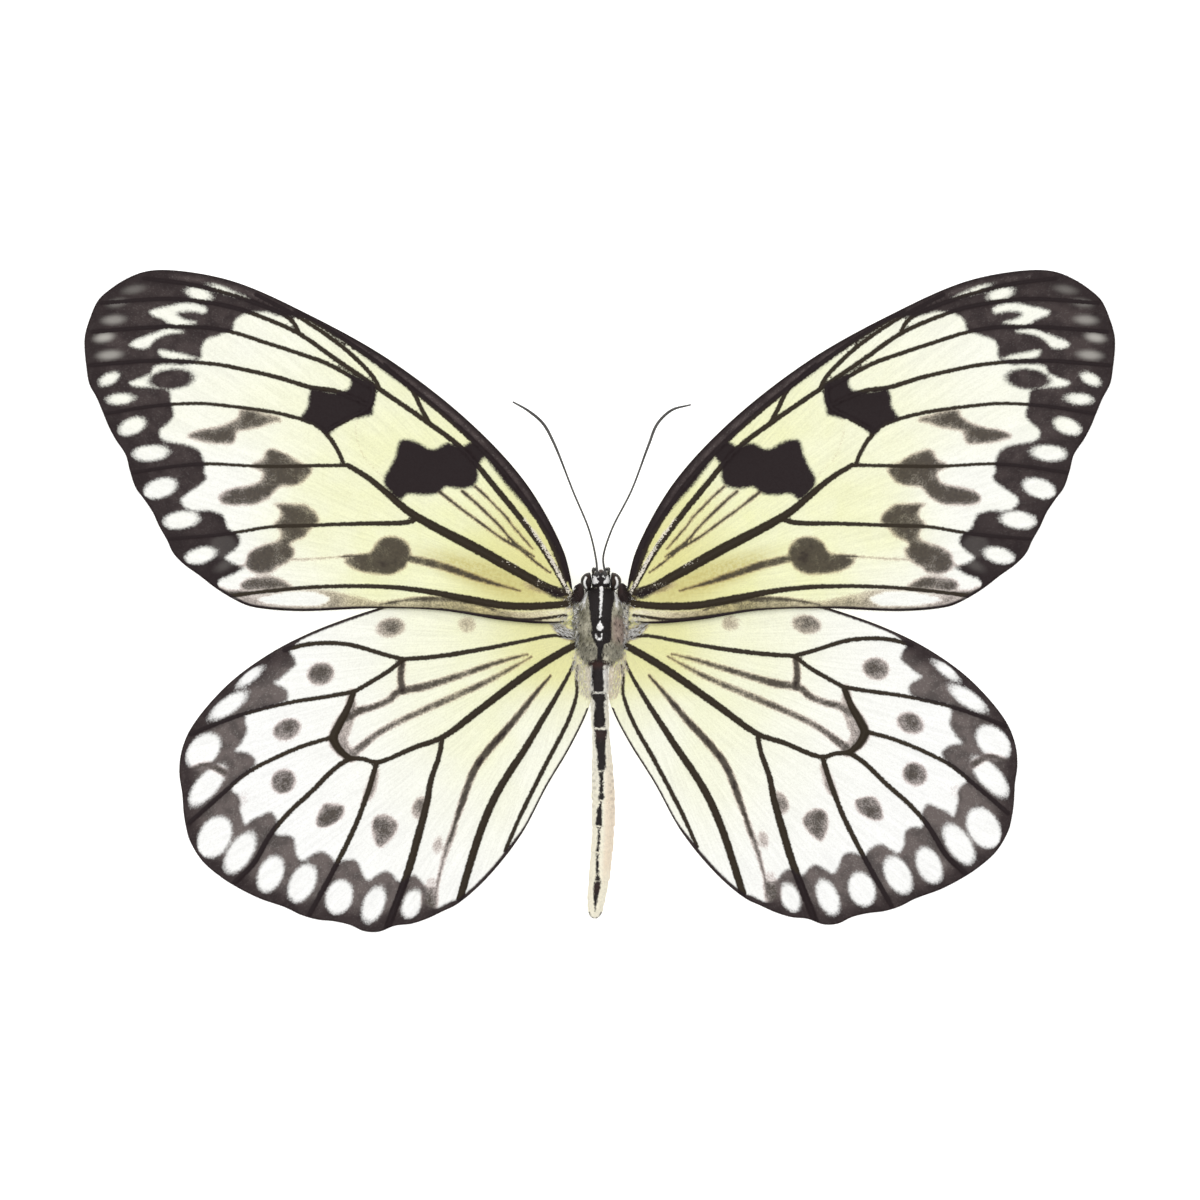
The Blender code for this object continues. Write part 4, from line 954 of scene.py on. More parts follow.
def rounded_ends(path, radii):
    """Extra stations at both ends of a tube, so that it closes in a round cap."""
    path = np.asarray(path, float)
    radii = np.asarray(radii, float)
    lean = np.radians([12, 38, 64])
    start = path[0] - (path[1] - path[0]) / np.linalg.norm(path[1] - path[0]) * radii[0] * np.cos(lean)[:,
                                                                                                        None]
    end = path[-1] + (path[-1] - path[-2]) / np.linalg.norm(path[-1]
                                                            - path[-2]) * radii[-1] * np.cos(lean[::-1])[:,
                                                                                                         None]
    return (np.vstack([start, path, end]),
            np.concatenate([radii[0] * np.sin(lean), radii, radii[-1] * np.sin(lean[::-1])]))


def join_lofts(name, lofts, material, **values):
    """One object from several closed skins, with what each corner carries."""
    points = np.vstack([p for p, _, _ in lofts])
    faces = []
    before = 0
    for p, f, _ in lofts:
        faces.extend([[corner + before for corner in face] for face in f])
        before += len(p)
    obj = link_mesh(name, points, faces, material)
    add_map(obj.data, "OFBake", np.vstack([place for _, _, place in lofts]))
    for label, numbers in values.items():
        add_values(obj.data, label, np.zeros(len(points)) + numbers)
    return obj


def body_colours(**shares):
    """What the body's scales show, with none of the colours that aren't named."""
    return {"dark": 0, "white": 0, "olive": 0, "pink": 0, "silver": 0, "rust": 0, **shares}


def patch_of(number, total):
    """One of several equal strips of the flat map."""
    width = 1 / total
    return (number * width + 0.05 * width, 0.01, (number + 1) * width - 0.05 * width, 0.99)


# Body skin

# Along the head and thorax: place, sideways shift and level of the middle line, half width and half height.
BODY_STATIONS = (
    (3.44, 0.15, 8.12, 0.26, 0.3), (3.36, 0.15, 8.13, 0.58, 0.66), (3.1, 0.15, 8.16, 0.95, 1.06),
    (2.6, 0.15, 8.2, 1.17, 1.34), (2.1, 0.15, 8.2, 1.16, 1.26), (1.8, 0.15, 8.14, 1.12, 1.08),
    (1.62, 0.15, 8.05, 1.1, 0.98), (1.46, 0.15, 7.95, 1.35, 1.08), (1.25, 0.15, 7.82, 1.62, 1.44),
    (0.95, 0.15, 7.72, 1.88, 1.88), (0.33, 0.15, 7.62, 2.42, 2.46), (-0.79, 0.15, 7.6, 2.84, 2.9),
    (-2.48, 0.15, 7.6, 2.96, 3.06), (-4.35, 0.15, 7.6, 2.9, 2.94), (-6.03, 0.13, 7.6, 2.56, 2.5),
    (-7.15, 0.1, 7.63, 1.98, 1.86), (-7.8, 0.04, 7.66, 1.4, 1.34), (-8.15, 0, 7.7, 1.14, 1.16),
)
ABDOMEN_BASE_Y = -8.2
ABDOMEN_TIP_Y = -39.95
ABDOMEN_GROOVES_Y = (-8.2, -11.6, -16.1, -21.45, -25.1, -28.4, -31.6, -35.2, -39.95)
ABDOMEN_BASE_Z = 7.7
ABDOMEN_TIP_Z = 6.6
ABDOMEN_HALF_WIDTHS = (1.16, 1.11, 1.1, 1.1, 1.17, 1.35, 1.44, 1.45, 1.4, 1.37, 1.32, 1.16)
ABDOMEN_STRAY = (0, -0.1, 0, 0.1, 0.25, 0.35, 0.42, 0.47, 0.4, 0.2, -0.05, -0.4)
ABDOMEN_DEPTH = 1.1
ABDOMEN_END = (
    (-38.3, -0.5, 6.66, 1.03, 1.1), (-39.2, -0.58, 6.62, 0.84, 0.88), (-39.7, -0.6, 6.6, 0.55, 0.56),
    (-39.93, -0.6, 6.6, 0.22, 0.22),
)
BODY_STEP = 0.17
BODY_SIDES = 88

# The dorsal stripe of the abdomen: place along the body, and its left and right edge.
DORSAL_STRIPE = (
    (-8, -0.9, 0.4), (-9, -0.95, 0.3), (-10, -0.9, 0.3), (-11.35, -0.8, 0.35), (-11.75, -1, 0.65),
    (-12.3, -0.95, 0.6), (-12.6, -0.6, 0.45), (-13.5, -0.55, 0.35), (-14.5, -0.75, 0.5), (-15.8, -0.68, 0.5),
    (-16.3, -0.65, 0.85), (-17, -0.55, 0.75), (-18, -0.5, 0.6), (-19, -0.3, 0.55), (-20, -0.25, 0.65),
    (-21.1, -0.25, 0.6), (-21.5, -0.1, 0.4), (-22.5, 0, 0.45), (-23.5, -0.05, 0.45), (-24.2, -0.05, 0.4),
    (-24.7, -0.27, 0.6), (-24.95, -0.2, 0.5), (-25.3, 0, 0.3), (-26, -0.25, 0.25), (-27, -0.42, 0.25),
    (-28.1, -0.6, 0.3), (-28.7, -0.2, 0.05), (-30, -0.3, 0), (-31.4, -0.45, -0.1), (-33, -0.45, -0.15),
    (-34.2, -0.5, -0.1), (-35, -0.55, 0), (-35.4, -0.65, 0.1), (-36, -0.77, 0.05), (-36.8, -0.8, -0.15),
    (-38, -0.7, -0.35), (-39.1, -0.62, -0.56),
)
BODY_BLACK = {
    "right_band": ((0.38, 1.6), (1.8, 1.35), (1.88, 0.3), (1.7, -0.8), (1.5, -2.2), (1.45, -3.6),
        (1.45, -4.6), (1.1, -5.4), (0.5, -5.75), (0.42, -7.5), (-0.3, -7.5), (-0.35, -5.9), (-0.65, -5.3),
        (-1, -4.6), (-1.05, -3.5), (-1.2, -2.2), (-1.36, -0.8), (-1.5, 0.4), (-1.45, 1.4), (-0.1, 1.6)),
    "waist": ((-1.9, -8.05), (-1.1, -7.55), (-0.2, -7.35), (0.6, -7.5), (1.4, -7.95), (0.5, -8.2),
        (-0.9, -8.2)),
}
BODY_WHITE = {
    "scutellum": ((0.06, -2.5), (0.23, -2.9), (0.43, -3.35), (0.34, -3.7), (0.05, -3.88), (-0.26, -3.7),
        (-0.34, -3.35), (-0.12, -2.9)),
    "left_brow": ((-1.06, 2.14), (-0.6, 2.02), (-0.1, 2.18), (-0.3, 2.55), (-0.62, 3.05), (-0.9, 2.6)),
    "right_brow": ((0.48, 2.14), (0.9, 2.02), (1.44, 2.2), (1.24, 2.6), (0.98, 3.05), (0.68, 2.55)),
}
BODY_WHITE_LINES = (
    (((0.2, 1.5), (0.19, 0.4), (0.14, -0.8), (0.09, -2.15)), (0.22, 0.17, 0.14, 0.09)),
    (((-1.7, 1.35), (-1.88, 0.4), (-2, -0.8)), (0.22, 0.24, 0.14)),
    (((2, 1.25), (2.13, 0.3), (2.08, -0.8)), (0.2, 0.24, 0.14)),
    (((-0.42, -4.25), (-0.46, -4.6), (-0.1, -4.95), (0.27, -4.6), (0.22, -4.25)),
        (0.06, 0.1, 0.12, 0.1, 0.06)),
    (((0.45, 2.98), (0.6, 2.9)), (0.13, 0.13)), (((-0.32, 3), (-0.18, 2.94)), (0.11, 0.11)),
)
# The dark line round the end of the abdomen.
TAIL_ARC = ((-1.4, -39.1), (-1.1, -39.7), (-0.62, -39.93), (-0.12, -39.75), (0.16, -39.2))
# White spots of the black underside and flanks: place along the body, angle below the side, and half size.
FLANK_SPOTS = (
    (0.9, 35, 0.34), (0.3, 8, 0.3), (-0.9, 52, 0.42), (-1.9, 20, 0.4), (-3.1, 55, 0.46), (-3.9, 24, 0.42),
    (-5.4, 48, 0.44), (-6.1, 15, 0.34), (-1.6, 76, 0.3), (-4.2, 76, 0.32), (2.3, 60, 0.26),
)


def body_profile(y):
    """Middle line, half width and half height of the body at places along it."""
    steps = np.linspace(ABDOMEN_BASE_Y, ABDOMEN_TIP_Y, 13)[:12]
    share = (steps - ABDOMEN_BASE_Y) / (ABDOMEN_TIP_Y - ABDOMEN_BASE_Y)
    half = np.array(ABDOMEN_HALF_WIDTHS)
    level = ABDOMEN_BASE_Z + (ABDOMEN_TIP_Z - ABDOMEN_BASE_Z) * share
    abdomen = np.stack([steps, ABDOMEN_STRAY, level, half, half * ABDOMEN_DEPTH], 1)[1:]
    line = smooth_line(np.vstack([BODY_STATIONS, abdomen, ABDOMEN_END]), 0.1)
    return [np.interp(-y, -line[:, 0], line[:, i]) for i in range(1, 5)]


def segment_swell(y):
    """How much the abdomen swells between its grooves: each ring starts low and slides over the next one."""
    grooves = -np.array(ABDOMEN_GROOVES_Y)
    number = np.clip(np.searchsorted(grooves, -y) - 1, 0, len(grooves) - 2)
    share = (-y - grooves[number]) / (grooves[number + 1] - grooves[number])
    swell = np.interp(share, (0, 0.05, 0.2, 0.6, 0.93, 0.98, 1), (0.93, 0.955, 0.99, 1, 1.03, 1.02, 0.93))
    return np.where(-y < grooves[0], 1, np.where(share > 1, 1, swell))


def body_relief(x, y, turn):
    """Plates, seams and folds of the body, outwards. The turn is the angle from its right side."""
    above = np.sin(turn)
    low = np.maximum(-above, 0)
    relief = np.zeros_like(x)
    chest = blend_in(y, -8, -7.4) * (1 - blend_in(y, 0.9, 1.5))
    back = blend_in(above, 0.1, 0.7) * chest
    relief -= 0.1 * back * np.exp(-((x - BODY_X) / 0.16) ** 2) * blend_in(y, -2.6, -2)
    for side in (-1, 1):
        seam = BODY_X + side * (1.9 + 0.12 * y)
        relief -= 0.08 * back * np.exp(-((x - seam) / 0.13) ** 2) * blend_in(y, -2.9, -2.3)
        relief -= 0.12 * chest * np.exp(-((above - 0.07) / 0.07) ** 2)
    curve = y + 2.55 + 0.16 * (x - BODY_X) ** 2
    relief -= 0.13 * back * np.exp(-(curve / 0.13) ** 2)
    relief += 0.22 * back * np.clip(1 - ((x - BODY_X) / 1.1) ** 2 - ((y + 3.35) / 0.75) ** 2, 0, 1) ** 0.5
    relief -= 0.13 * back * np.exp(-((y + 4.2 + 0.1 * (x - BODY_X) ** 2) / 0.12) ** 2)
    relief -= 0.12 * back * np.exp(-((y + 5.35 - 0.1 * (x - BODY_X) ** 2) / 0.16) ** 2)
    for coxa_y in (0.35, -1.6, -4.6):
        for side in (-1, 1):
            spread = ((x - BODY_X - side * 1.35) / 0.85) ** 2 + ((y - coxa_y) / 0.95) ** 2
            relief += 0.4 * blend_in(low, 0.55, 0.9) * np.exp(-spread * 1.4) * blend_in(y, -7, -6)
    rear = 1 - blend_in(y, -9.4, -8.4)
    fold = np.exp(-((above + 0.28) / 0.1) ** 2)
    relief -= 0.13 * fold * rear * blend_in(y, -39, -37.5)
    relief += 0.03 * np.sin(5.2 * y + 2 * turn) * np.sin(3 * turn + 0.7 * y) * rear
    slit = np.exp(-((x + 0.6) / 0.07) ** 2) * (1 - blend_in(y, -39.5, -39))
    relief -= 0.07 * slit
    return relief


def stripe_depth(x, y):
    """Depth inside the dorsal stripe of the abdomen."""
    table = np.array(DORSAL_STRIPE)
    wider = 0.14 * (1 - blend_in(-y, 20, 22))
    left = np.interp(-y, -table[:, 0], table[:, 1]) - 0.3 * wider
    right = np.interp(-y, -table[:, 0], table[:, 2]) + wider
    depth = np.minimum(x - left, right - x)
    return np.where((y < -8) & (y > -39.1), depth, -FAR)


def paint_body(x, y, turn):
    """What the body's scales show at each corner. Depths are in millimetres and shares go from 0 to 1."""
    plan = np.stack([x, y], 1)
    top = np.sin(turn) > -0.05
    chest = y > -8.1
    head = y > 1.64
    dark = stripe_depth(x, y)
    for ring in BODY_BLACK.values():
        dark = np.maximum(dark, depth_in_shape(plan, ring, 0.1))
    for groove in ABDOMEN_GROOVES_Y[1:-1]:
        dark = np.minimum(dark, np.abs(y - groove) - 0.1)
    dark = np.where(top, dark, -0.5)
    below = np.degrees(np.arcsin(np.clip(-np.sin(turn), -1, 1)))
    belly = np.clip((below + 4) / 25, -1, 1)
    dark = np.where(chest, np.maximum(dark, np.where(y < -7.3, -0.6, belly)), dark)
    dark = np.where(chest & top, np.maximum(dark, -0.13), dark)
    dark = np.where(head, 1, dark)
    dark = np.maximum(dark, np.where(top, depth_in_line(plan, TAIL_ARC, (0.07, 0.07), 0.1), -0.5))

    white = np.full(len(x), -FAR)
    for ring in BODY_WHITE.values():
        white = np.maximum(white, depth_in_shape(plan, ring, 0.1))
    for points, halves in BODY_WHITE_LINES:
        white = np.maximum(white, depth_in_line(plan, points, halves, 0.1))
    white = np.where(np.sin(turn) > 0.3, white, -FAR)
    reach = np.abs(x - BODY_X)
    for spot_y, spot_below, half in FLANK_SPOTS:
        away = np.hypot(y - spot_y, np.radians(below - spot_below) * 2.6)
        white = np.maximum(white, np.where(reach > 0.1, half - away, -FAR))

    rear = ~chest
    flank = blend_in(np.abs(np.cos(turn)), 0.3, 0.8)
    olive = np.where(chest, 0.85 - 0.3 * blend_in(y, -4.8, -6),
                     0.05 * flank + 0.04 + 0.4 * flank * np.exp(-((y + 23.8) / 3.2) ** 2)
                     * blend_in(np.sin(7 * y) * np.sin(5 * x + y), -0.2, 0.7))
    pink = np.where(chest, 0.75 * blend_in(x, 1, 2.2) * blend_in(y, -1.6, -2.6)
                    * (1 - blend_in(-y, 4.6, 5.8)), 0.6 * blend_in(x
                                                                   - np.interp(-y, (8, 20, 30, 40),
                                                                               (0, 0.1, 0, -0.6)), 0.3, 0.9)
                    * np.interp(-y, (19, 22, 25, 33, 36), (0.1, 0.7, 1, 1, 0)))
    silver = np.where(rear, np.interp(-y, (8, 11, 14, 20, 30), (0.9, 0.8, 0.5, 0.35, 0.15)), 0.25)
    rust = 0.6 * np.exp(-((y + 8) / 0.45) ** 2) + 0.35 * np.exp(-((y + 16.8) / 0.7) ** 2)
    rust = rust + 0.3 * np.exp(-((y + 36) / 0.7) ** 2)
    return {"dark": dark, "white": white, "olive": olive, "pink": pink, "silver": silver,
            "rust": np.clip(rust, 0, 1)}


def body_rings():
    long_run = np.arange(3.44, ABDOMEN_TIP_Y + 0.02, -BODY_STEP)
    extra = [g + d for g in ABDOMEN_GROOVES_Y[1:-1] for d in (-0.05, 0.05)] + [3.42, 3.38, -39.9,
                                                                               ABDOMEN_TIP_Y + 0.02]
    y = np.unique(np.round(np.concatenate([long_run, extra]), 3))[::-1]
    y = y[np.concatenate([[True], -np.diff(y) > 0.015])]
    centre, level, half_width, half_height = body_profile(y)
    turn = 2 * math.pi * (np.arange(BODY_SIDES) + 0.5) / BODY_SIDES - 0.5 * math.pi
    swell = segment_swell(y)[:, None]
    yy = np.repeat(y[:, None], BODY_SIDES, 1)
    turns = np.repeat(turn[None], len(y), 0)
    x = centre[:, None] + half_width[:, None] * swell * np.cos(turns)
    z = level[:, None] + half_height[:, None] * swell * np.sin(turns)
    relief = body_relief(x, yy, turns)
    x = x + relief * np.cos(turns)
    z = z + relief * np.sin(turns)
    return np.stack([x, yy, z], 2), turns


def make_body(material):
    rings, turns = body_rings()
    shape = loft(rings)
    points = shape[0]
    turn = np.append(turns, [0.5, 0.5])
    return join_lofts("body_skin", [shape], material, **paint_body(points[:, 0], points[:, 1], turn))


# Eyes, feelers, palps and tongue

EYE_PLACE = (1.42, 2.3, 8.2)
EYE_HALF_SIZES = (1.14, 1.15, 1.24)
EYE_INNER_DEPTH = 0.24
ANTENNA_X = 0.5
ANTENNA_PATHS = {
    1: ((0.43, 5.3, 10.3), (1.48, 8.75, 11), (3.97, 13.7, 11.9), (6.08, 19.3, 12.8), (7.2, 22, 13.1),
        (9, 23.7, 13.2), (11.3, 24.35, 13.1)),
    -1: ((0.47, 5.1, 10.3), (1.3, 8.65, 11), (3.3, 13.5, 11.9), (5.8, 19.75, 12.8), (7.1, 22.05, 13.1),
        (8.9, 23.6, 13.2), (10.8, 24.7, 13.1)),
}
ANTENNA_JOINT = 0.42
EYE_RIM = ((1.88, 2.8), (2.06, 2.35), (2.06, 1.95), (1.86, 1.55))
# The palp's middle line (outwards from its root, place and level), and its half thickness at shares of it.
PALP_PATH = (
    (-0.2, 2.3, 6.95), (0, 2.75, 6.6), (0, 3.3, 6.6), (0, 3.68, 7.05), (-0.12, 3.84, 7.8), (-0.3, 3.8, 8.5),
    (-0.42, 3.72, 8.95),
)
PALP_SHARES = (0, 0.1, 0.28, 0.33, 0.5, 0.78, 0.82, 0.9, 1)
PALP_RADII = (0.14, 0.24, 0.25, 0.21, 0.28, 0.2, 0.15, 0.16, 0.07)
TONGUE_CENTRE = (BODY_X, 2.7, 5.16)
TONGUE_TURNS = 2.1
ANTENNA_RADII = (0.145, 0.13, 0.125, 0.125, 0.125, 0.13, 0.165, 0.195, 0.185, 0.11)


def make_eye(name, side, material):
    """A compound eye: a dome with a narrow pale rim of scales around its inner side."""
    layers, sides = 40, 56
    lean = np.radians(np.linspace(-88, 88, layers))
    turn = 2 * math.pi * np.arange(sides) / sides
    out = np.sin(lean)[:, None] * np.ones(sides)
    flat = np.abs(np.cos(lean))[:, None]
    x = BODY_X + side * (EYE_PLACE[0] + np.where(out > 0, EYE_HALF_SIZES[0], EYE_INNER_DEPTH) * out)
    y = EYE_PLACE[1] + EYE_HALF_SIZES[1] * flat * np.cos(turn)
    z = EYE_PLACE[2] + EYE_HALF_SIZES[2] * flat * np.sin(turn)
    shape = loft(np.stack([x, y, z], 2))
    p = shape[0]
    arc, _ = distance_to_line(p[:, :2] * (side, 1), np.array(EYE_RIM) + (side * BODY_X, 0))
    pale = np.where(p[:, 2] > EYE_PLACE[2] - 0.2, 0.12 - arc, -1)
    return join_lofts(name, [shape], material, pale=pale, socket=np.abs(p[:, 0] - BODY_X) < 1.4)


def make_antenna(name, side, material):
    """A feeler of many joints that thickens slowly into a club, on a short round base."""
    path = [(BODY_X + side * ANTENNA_X, 3.05, 9.3), (BODY_X + side * (ANTENNA_X - 0.02), 3.55, 9.62)]
    path += [(side * x, y, z) for x, y, z in ANTENNA_PATHS[side]]
    line = smooth_line(path, 0.03)
    length = np.append(0, np.cumsum(np.linalg.norm(np.diff(line, axis=0), axis=1)))
    joints = np.arange(int(length[-1] / ANTENNA_JOINT))
    places = np.unique([joints + part for part in (0, 0.12, 0.5, 0.88)]) * ANTENNA_JOINT
    places = np.append(places, length[-1])
    share = places / length[-1]
    phase = (places / ANTENNA_JOINT) % 1
    radius = along(ANTENNA_RADII, share) * np.where((phase < 0.05) | (phase > 0.95), 0.86, 1)
    radius += 0.12 * np.exp(-((places - 0.35) / 0.3) ** 2)
    centre = np.stack([np.interp(places, length, line[:, i]) for i in range(3)], 1)
    path, radii = rounded_ends(centre, radius)
    return join_lofts(name, [loft(ring_path(path, radii, 12))], material, pale=-1)


def make_palp(name, side, material):
    """Three joints that rise in front of the face."""
    root = BODY_X + side * 0.93
    path = smooth_line([(root + side * inwards, y, z) for inwards, y, z in PALP_PATH], 0.06)
    radii = np.interp(np.linspace(0, 1, len(path)), PALP_SHARES, PALP_RADII)
    path, radii = rounded_ends(path, radii)
    shape = loft(ring_path(path, radii, 16, 0.85, (1, 0, 0)))
    x, _, z = shape[0].T
    outer = side * (x - root)
    obj = join_lofts(name, [shape], material, **body_colours(dark=np.maximum(0.1 + outer, z - 7.9),
                                                             white=np.minimum(-outer - 0.12, 8.2 - z)))
    set_coat(obj.data, flat_places(shape), 1, 0.36 + 0.1 * blend_in(z, 7.5, 8.6), (0, 0.3, 0.9))
    return obj


def flat_places(shape):
    """The flat map's place of each point, taken from the last face corner that uses it."""
    points, faces, place = shape
    flat = np.zeros((len(points), 3))
    flat[np.concatenate([np.asarray(f) for f in faces]), :2] = place
    return flat


def make_tongue(material):
    """The sucking tongue: two half tubes side by side, rolled up like a watch spring."""
    share = np.linspace(0, 1, 260)
    angle = math.radians(112) - 2 * math.pi * TONGUE_TURNS * share
    reach = 1.12 * (1 - 0.8 * share)
    path = TONGUE_CENTRE + reach[:, None] * np.stack([0 * angle, np.cos(angle), np.sin(angle)], 1)
    root = smooth_line(((BODY_X, 2.25, 6.85), (BODY_X, 2.2, 6.6), tuple(path[0])), 0.05)[:-1]
    path = np.vstack([root, path])
    share = np.linspace(0, 1, len(path))
    radii = np.interp(share, (0, 0.3, 0.8, 1), (0.17, 0.16, 0.1, 0.045)) * (1 + 0.03 * np.sin(share * 520))
    lofts = []
    for number, side in enumerate((-1, 1)):
        shifted = path + np.stack([side * 0.62 * radii, 0 * radii, 0 * radii], 1)
        tube = ring_path(*rounded_ends(shifted, radii), 12, 1, (0, 0, 1))
        lofts.append(loft(tube, patch_of(number, 2)))
    return join_lofts("tongue", lofts, material, pale=-1)


# Tegulae and legs

def make_tegula(name, side, material):
    """A curved scale over the forewing's hinge, rounded like a mussel shell and thin at its outer edge."""
    layers, sides = 16, 40
    turn = 2 * math.pi * np.arange(sides) / sides
    rings = []
    for layer in range(layers):
        lean = math.radians(-40 + 128 * layer / (layers - 1))
        size = math.cos(lean)
        y = 0.95 + 1.15 * size * np.sin(turn) - 0.25 * np.cos(turn)
        x = BODY_X + side * (2.75 + (0.66 - 0.16 * np.sin(turn)) * size * np.cos(turn))
        z = 9.2 + 0.5 * math.sin(lean) + 0.12 * (1 - size) - 0.1 * (np.abs(x - BODY_X) - 2.8)
        rings.append(np.stack([x, y, z * np.ones(sides)], 1))
    shape = loft(rings)
    # The rust share on the tegula is a painted brown highlight on its dark scales.
    obj = join_lofts(name, [shape], material, **body_colours(dark=0.4, white=-1, rust=0.25))
    set_coat(obj.data, flat_places(shape), shape[0][:, 2] > 8.9, 0.8, (0.9 * side, -0.8, 0))
    return obj


def spindle(start, end, radii, bow, patch):
    """One joint of a leg between two places, bowed a little, with rounded ends, and never below the floor."""
    share = np.linspace(0, 1, 12)[:, None]
    path = (1 - share) * np.array(start) + share * np.array(end) + 4 * share * (1 - share) * np.array(bow)
    rings = ring_path(*rounded_ends(path, along(radii, share[:, 0])), 14)
    rings[:, :, 2] = np.maximum(rings[:, :, 2], 0)
    return loft(rings, patch)


# The walking legs' joints on the right side: hip, knee, ankle, heel and toe.
WALKING_LEGS = {
    "midleg": ((2.1, -0.95, 5.55), (6, 1.6, 6), (9, 4.6, 0.9), (9.4, 5.43, 0.24), (10.6, 7.9, 0.24)),
    "hindleg": ((2.05, -4.3, 5.6), (5.6, -7.6, 5.6), (8.4, -11.3, 0.9), (8.75, -12.2, 0.24),
        (9.8, -14.9, 0.24)),
}
FORELEG = ((1.5, 0.6, 5.75), (1.8, 2.75, 5), (1.68, 2.5, 4.35), (1.55, 0.75, 3.95))
STRAIGHT = (0, 0, 0)
FOOT_SHARES = (0, 0.36, 0.54, 0.68, 0.8, 1)


def make_limb(name, pieces, material):
    """A jointed limb. Each joint: start, end, radii, bow, its hair's length, and if its underside is pale."""
    lofts, pale, length, lie = [], [], [], []
    for number, (start, end, radii, bow, hair, has_pale) in enumerate(pieces):
        part = spindle(start, end, radii, bow, patch_of(number, len(pieces)))
        ahead = (end - start) / np.linalg.norm(end - start)
        arm = part[0] - start
        below = -(arm - (arm @ ahead)[:, None] * ahead)[:, 2]
        lofts.append(part)
        pale.append(below - 0.1 if has_pale else np.full(len(arm), -1.0))
        length.append(np.full(len(arm), hair))
        lie.append(np.tile(ahead, (len(arm), 1)))
    obj = join_lofts(name, lofts, material, pale=np.concatenate(pale))
    length = np.concatenate(length)
    above_floor = mesh_points(obj.data)[:, 2] > 0.22
    set_coat(obj.data, np.vstack([flat_places(part) for part in lofts]), (length > 0) & above_floor, length,
             np.vstack(lie))
    return obj


def make_walking_leg(name, side, material):
    """Hip, thigh, shin and a foot of five joints with two claws. Only the foot touches the floor."""
    hip, knee, ankle, heel, toe = [np.array(p) * (side, 1, 1) for p in WALKING_LEGS[name.split("_")[0]]]
    body = np.array((BODY_X + side * 1.25, hip[1], 5.6))
    pieces = [(body, hip, (0.42, 0.5, 0.36), (0, 0, -0.1), 0.5, False),
              (hip, hip + 0.1 * (knee - hip), (0.34, 0.3), STRAIGHT, 0.4, False),
              (hip + 0.06 * (knee - hip), knee, (0.2, 0.34, 0.36, 0.3, 0.22, 0.2), (0, 0, 0.12), 0.34, True),
              (knee, ankle, (0.19, 0.2, 0.18, 0.17, 0.18), (0.06 * side, 0, 0.1), 0.3, True)]
    foot = smooth_line((ankle * (1, 1, 0.8), heel * (1, 1, 0.72), (heel + toe) / 2 * (1, 1, 0.58),
                        toe * (1, 1, 0.58)), 0.05)
    joints = [foot[int(share * (len(foot) - 1))] for share in FOOT_SHARES]
    pieces += [(start, end, (0.12, 0.14, 0.145), STRAIGHT, 0.16, False) for start,
               end in zip(joints, joints[1:])]
    ahead = (toe - heel) / np.linalg.norm(toe - heel)
    across = np.array((ahead[1], -ahead[0], 0))
    tip = foot[-1]
    for turn in (-1, 1):
        middle = tip + 0.2 * ahead + turn * 0.12 * across + (0, 0, 0.06)
        end = middle + 0.12 * ahead + turn * 0.05 * across
        end[2] = 0.035
        pieces.append((tip, middle, (0.07, 0.06), STRAIGHT, 0, False))
        pieces.append((middle, end, (0.06, 0.03), (0, 0, 0.05), 0, False))
    return make_limb(name, pieces, material)


def make_foreleg(name, side, material):
    """The small brush leg that this family keeps folded under its chest."""
    hip, knee, ankle, toe = [np.array(p) * (side, 1, 1) for p in FORELEG]
    pieces = [(hip + (-0.4 * side, -0.1, 0.3), hip, (0.36, 0.34, 0.26), STRAIGHT, 0.4, False),
              (hip, knee, (0.2, 0.27, 0.26, 0.2), STRAIGHT, 0.45, True),
              (knee, ankle, (0.19, 0.2, 0.17), STRAIGHT, 0.35, False),
              (ankle, toe, (0.16, 0.17, 0.14, 0.08), STRAIGHT, 0.5, True)]
    return make_limb(name, pieces, material)


# Body finishes

CREAM = (0.95, 0.89, 0.7, 1)
PEACH = (0.92, 0.74, 0.56, 1)
SILVER_HAIR = (0.9, 0.89, 0.86, 1)
OLIVE_HAIR = (0.2, 0.185, 0.12, 1)
PINKISH_HAIR = (0.42, 0.3, 0.28, 1)
COAL = (0.012, 0.008, 0.008, 1)
RUST_AND_SHEEN_BROWN = (0.075, 0.03, 0.024, 1)
CLEAN_WHITE = (0.93, 0.92, 0.9, 1)
FRINGE_BROWN = (0.085, 0.065, 0.05, 1)
OLIVE_EDGE = (0.2, 0.18, 0.11, 1)


def build_skin_grain():
    """Fine overlapping body scales: a value for each scale and the height over it."""
    net, given, end = new_group("body scale grain", (("Place", "Vector"), ("Size", "Float", 0.09)),
                                (("Shade", "Float"), ("Height", "Float")))
    scale = net.maths("DIVIDE", 1000, given["Size"])
    cells = net.node("ShaderNodeTexVoronoi", {"Vector": given["Place"], "Scale": scale, "Randomness": 0.8})
    net.feed(end["Shade"], net.node("ShaderNodeSeparateColor", {0: cells["Color"]})[0])
    net.feed(end["Height"], net.ramp(cells["Distance"], 0.8, 0.1))
    return net.tree


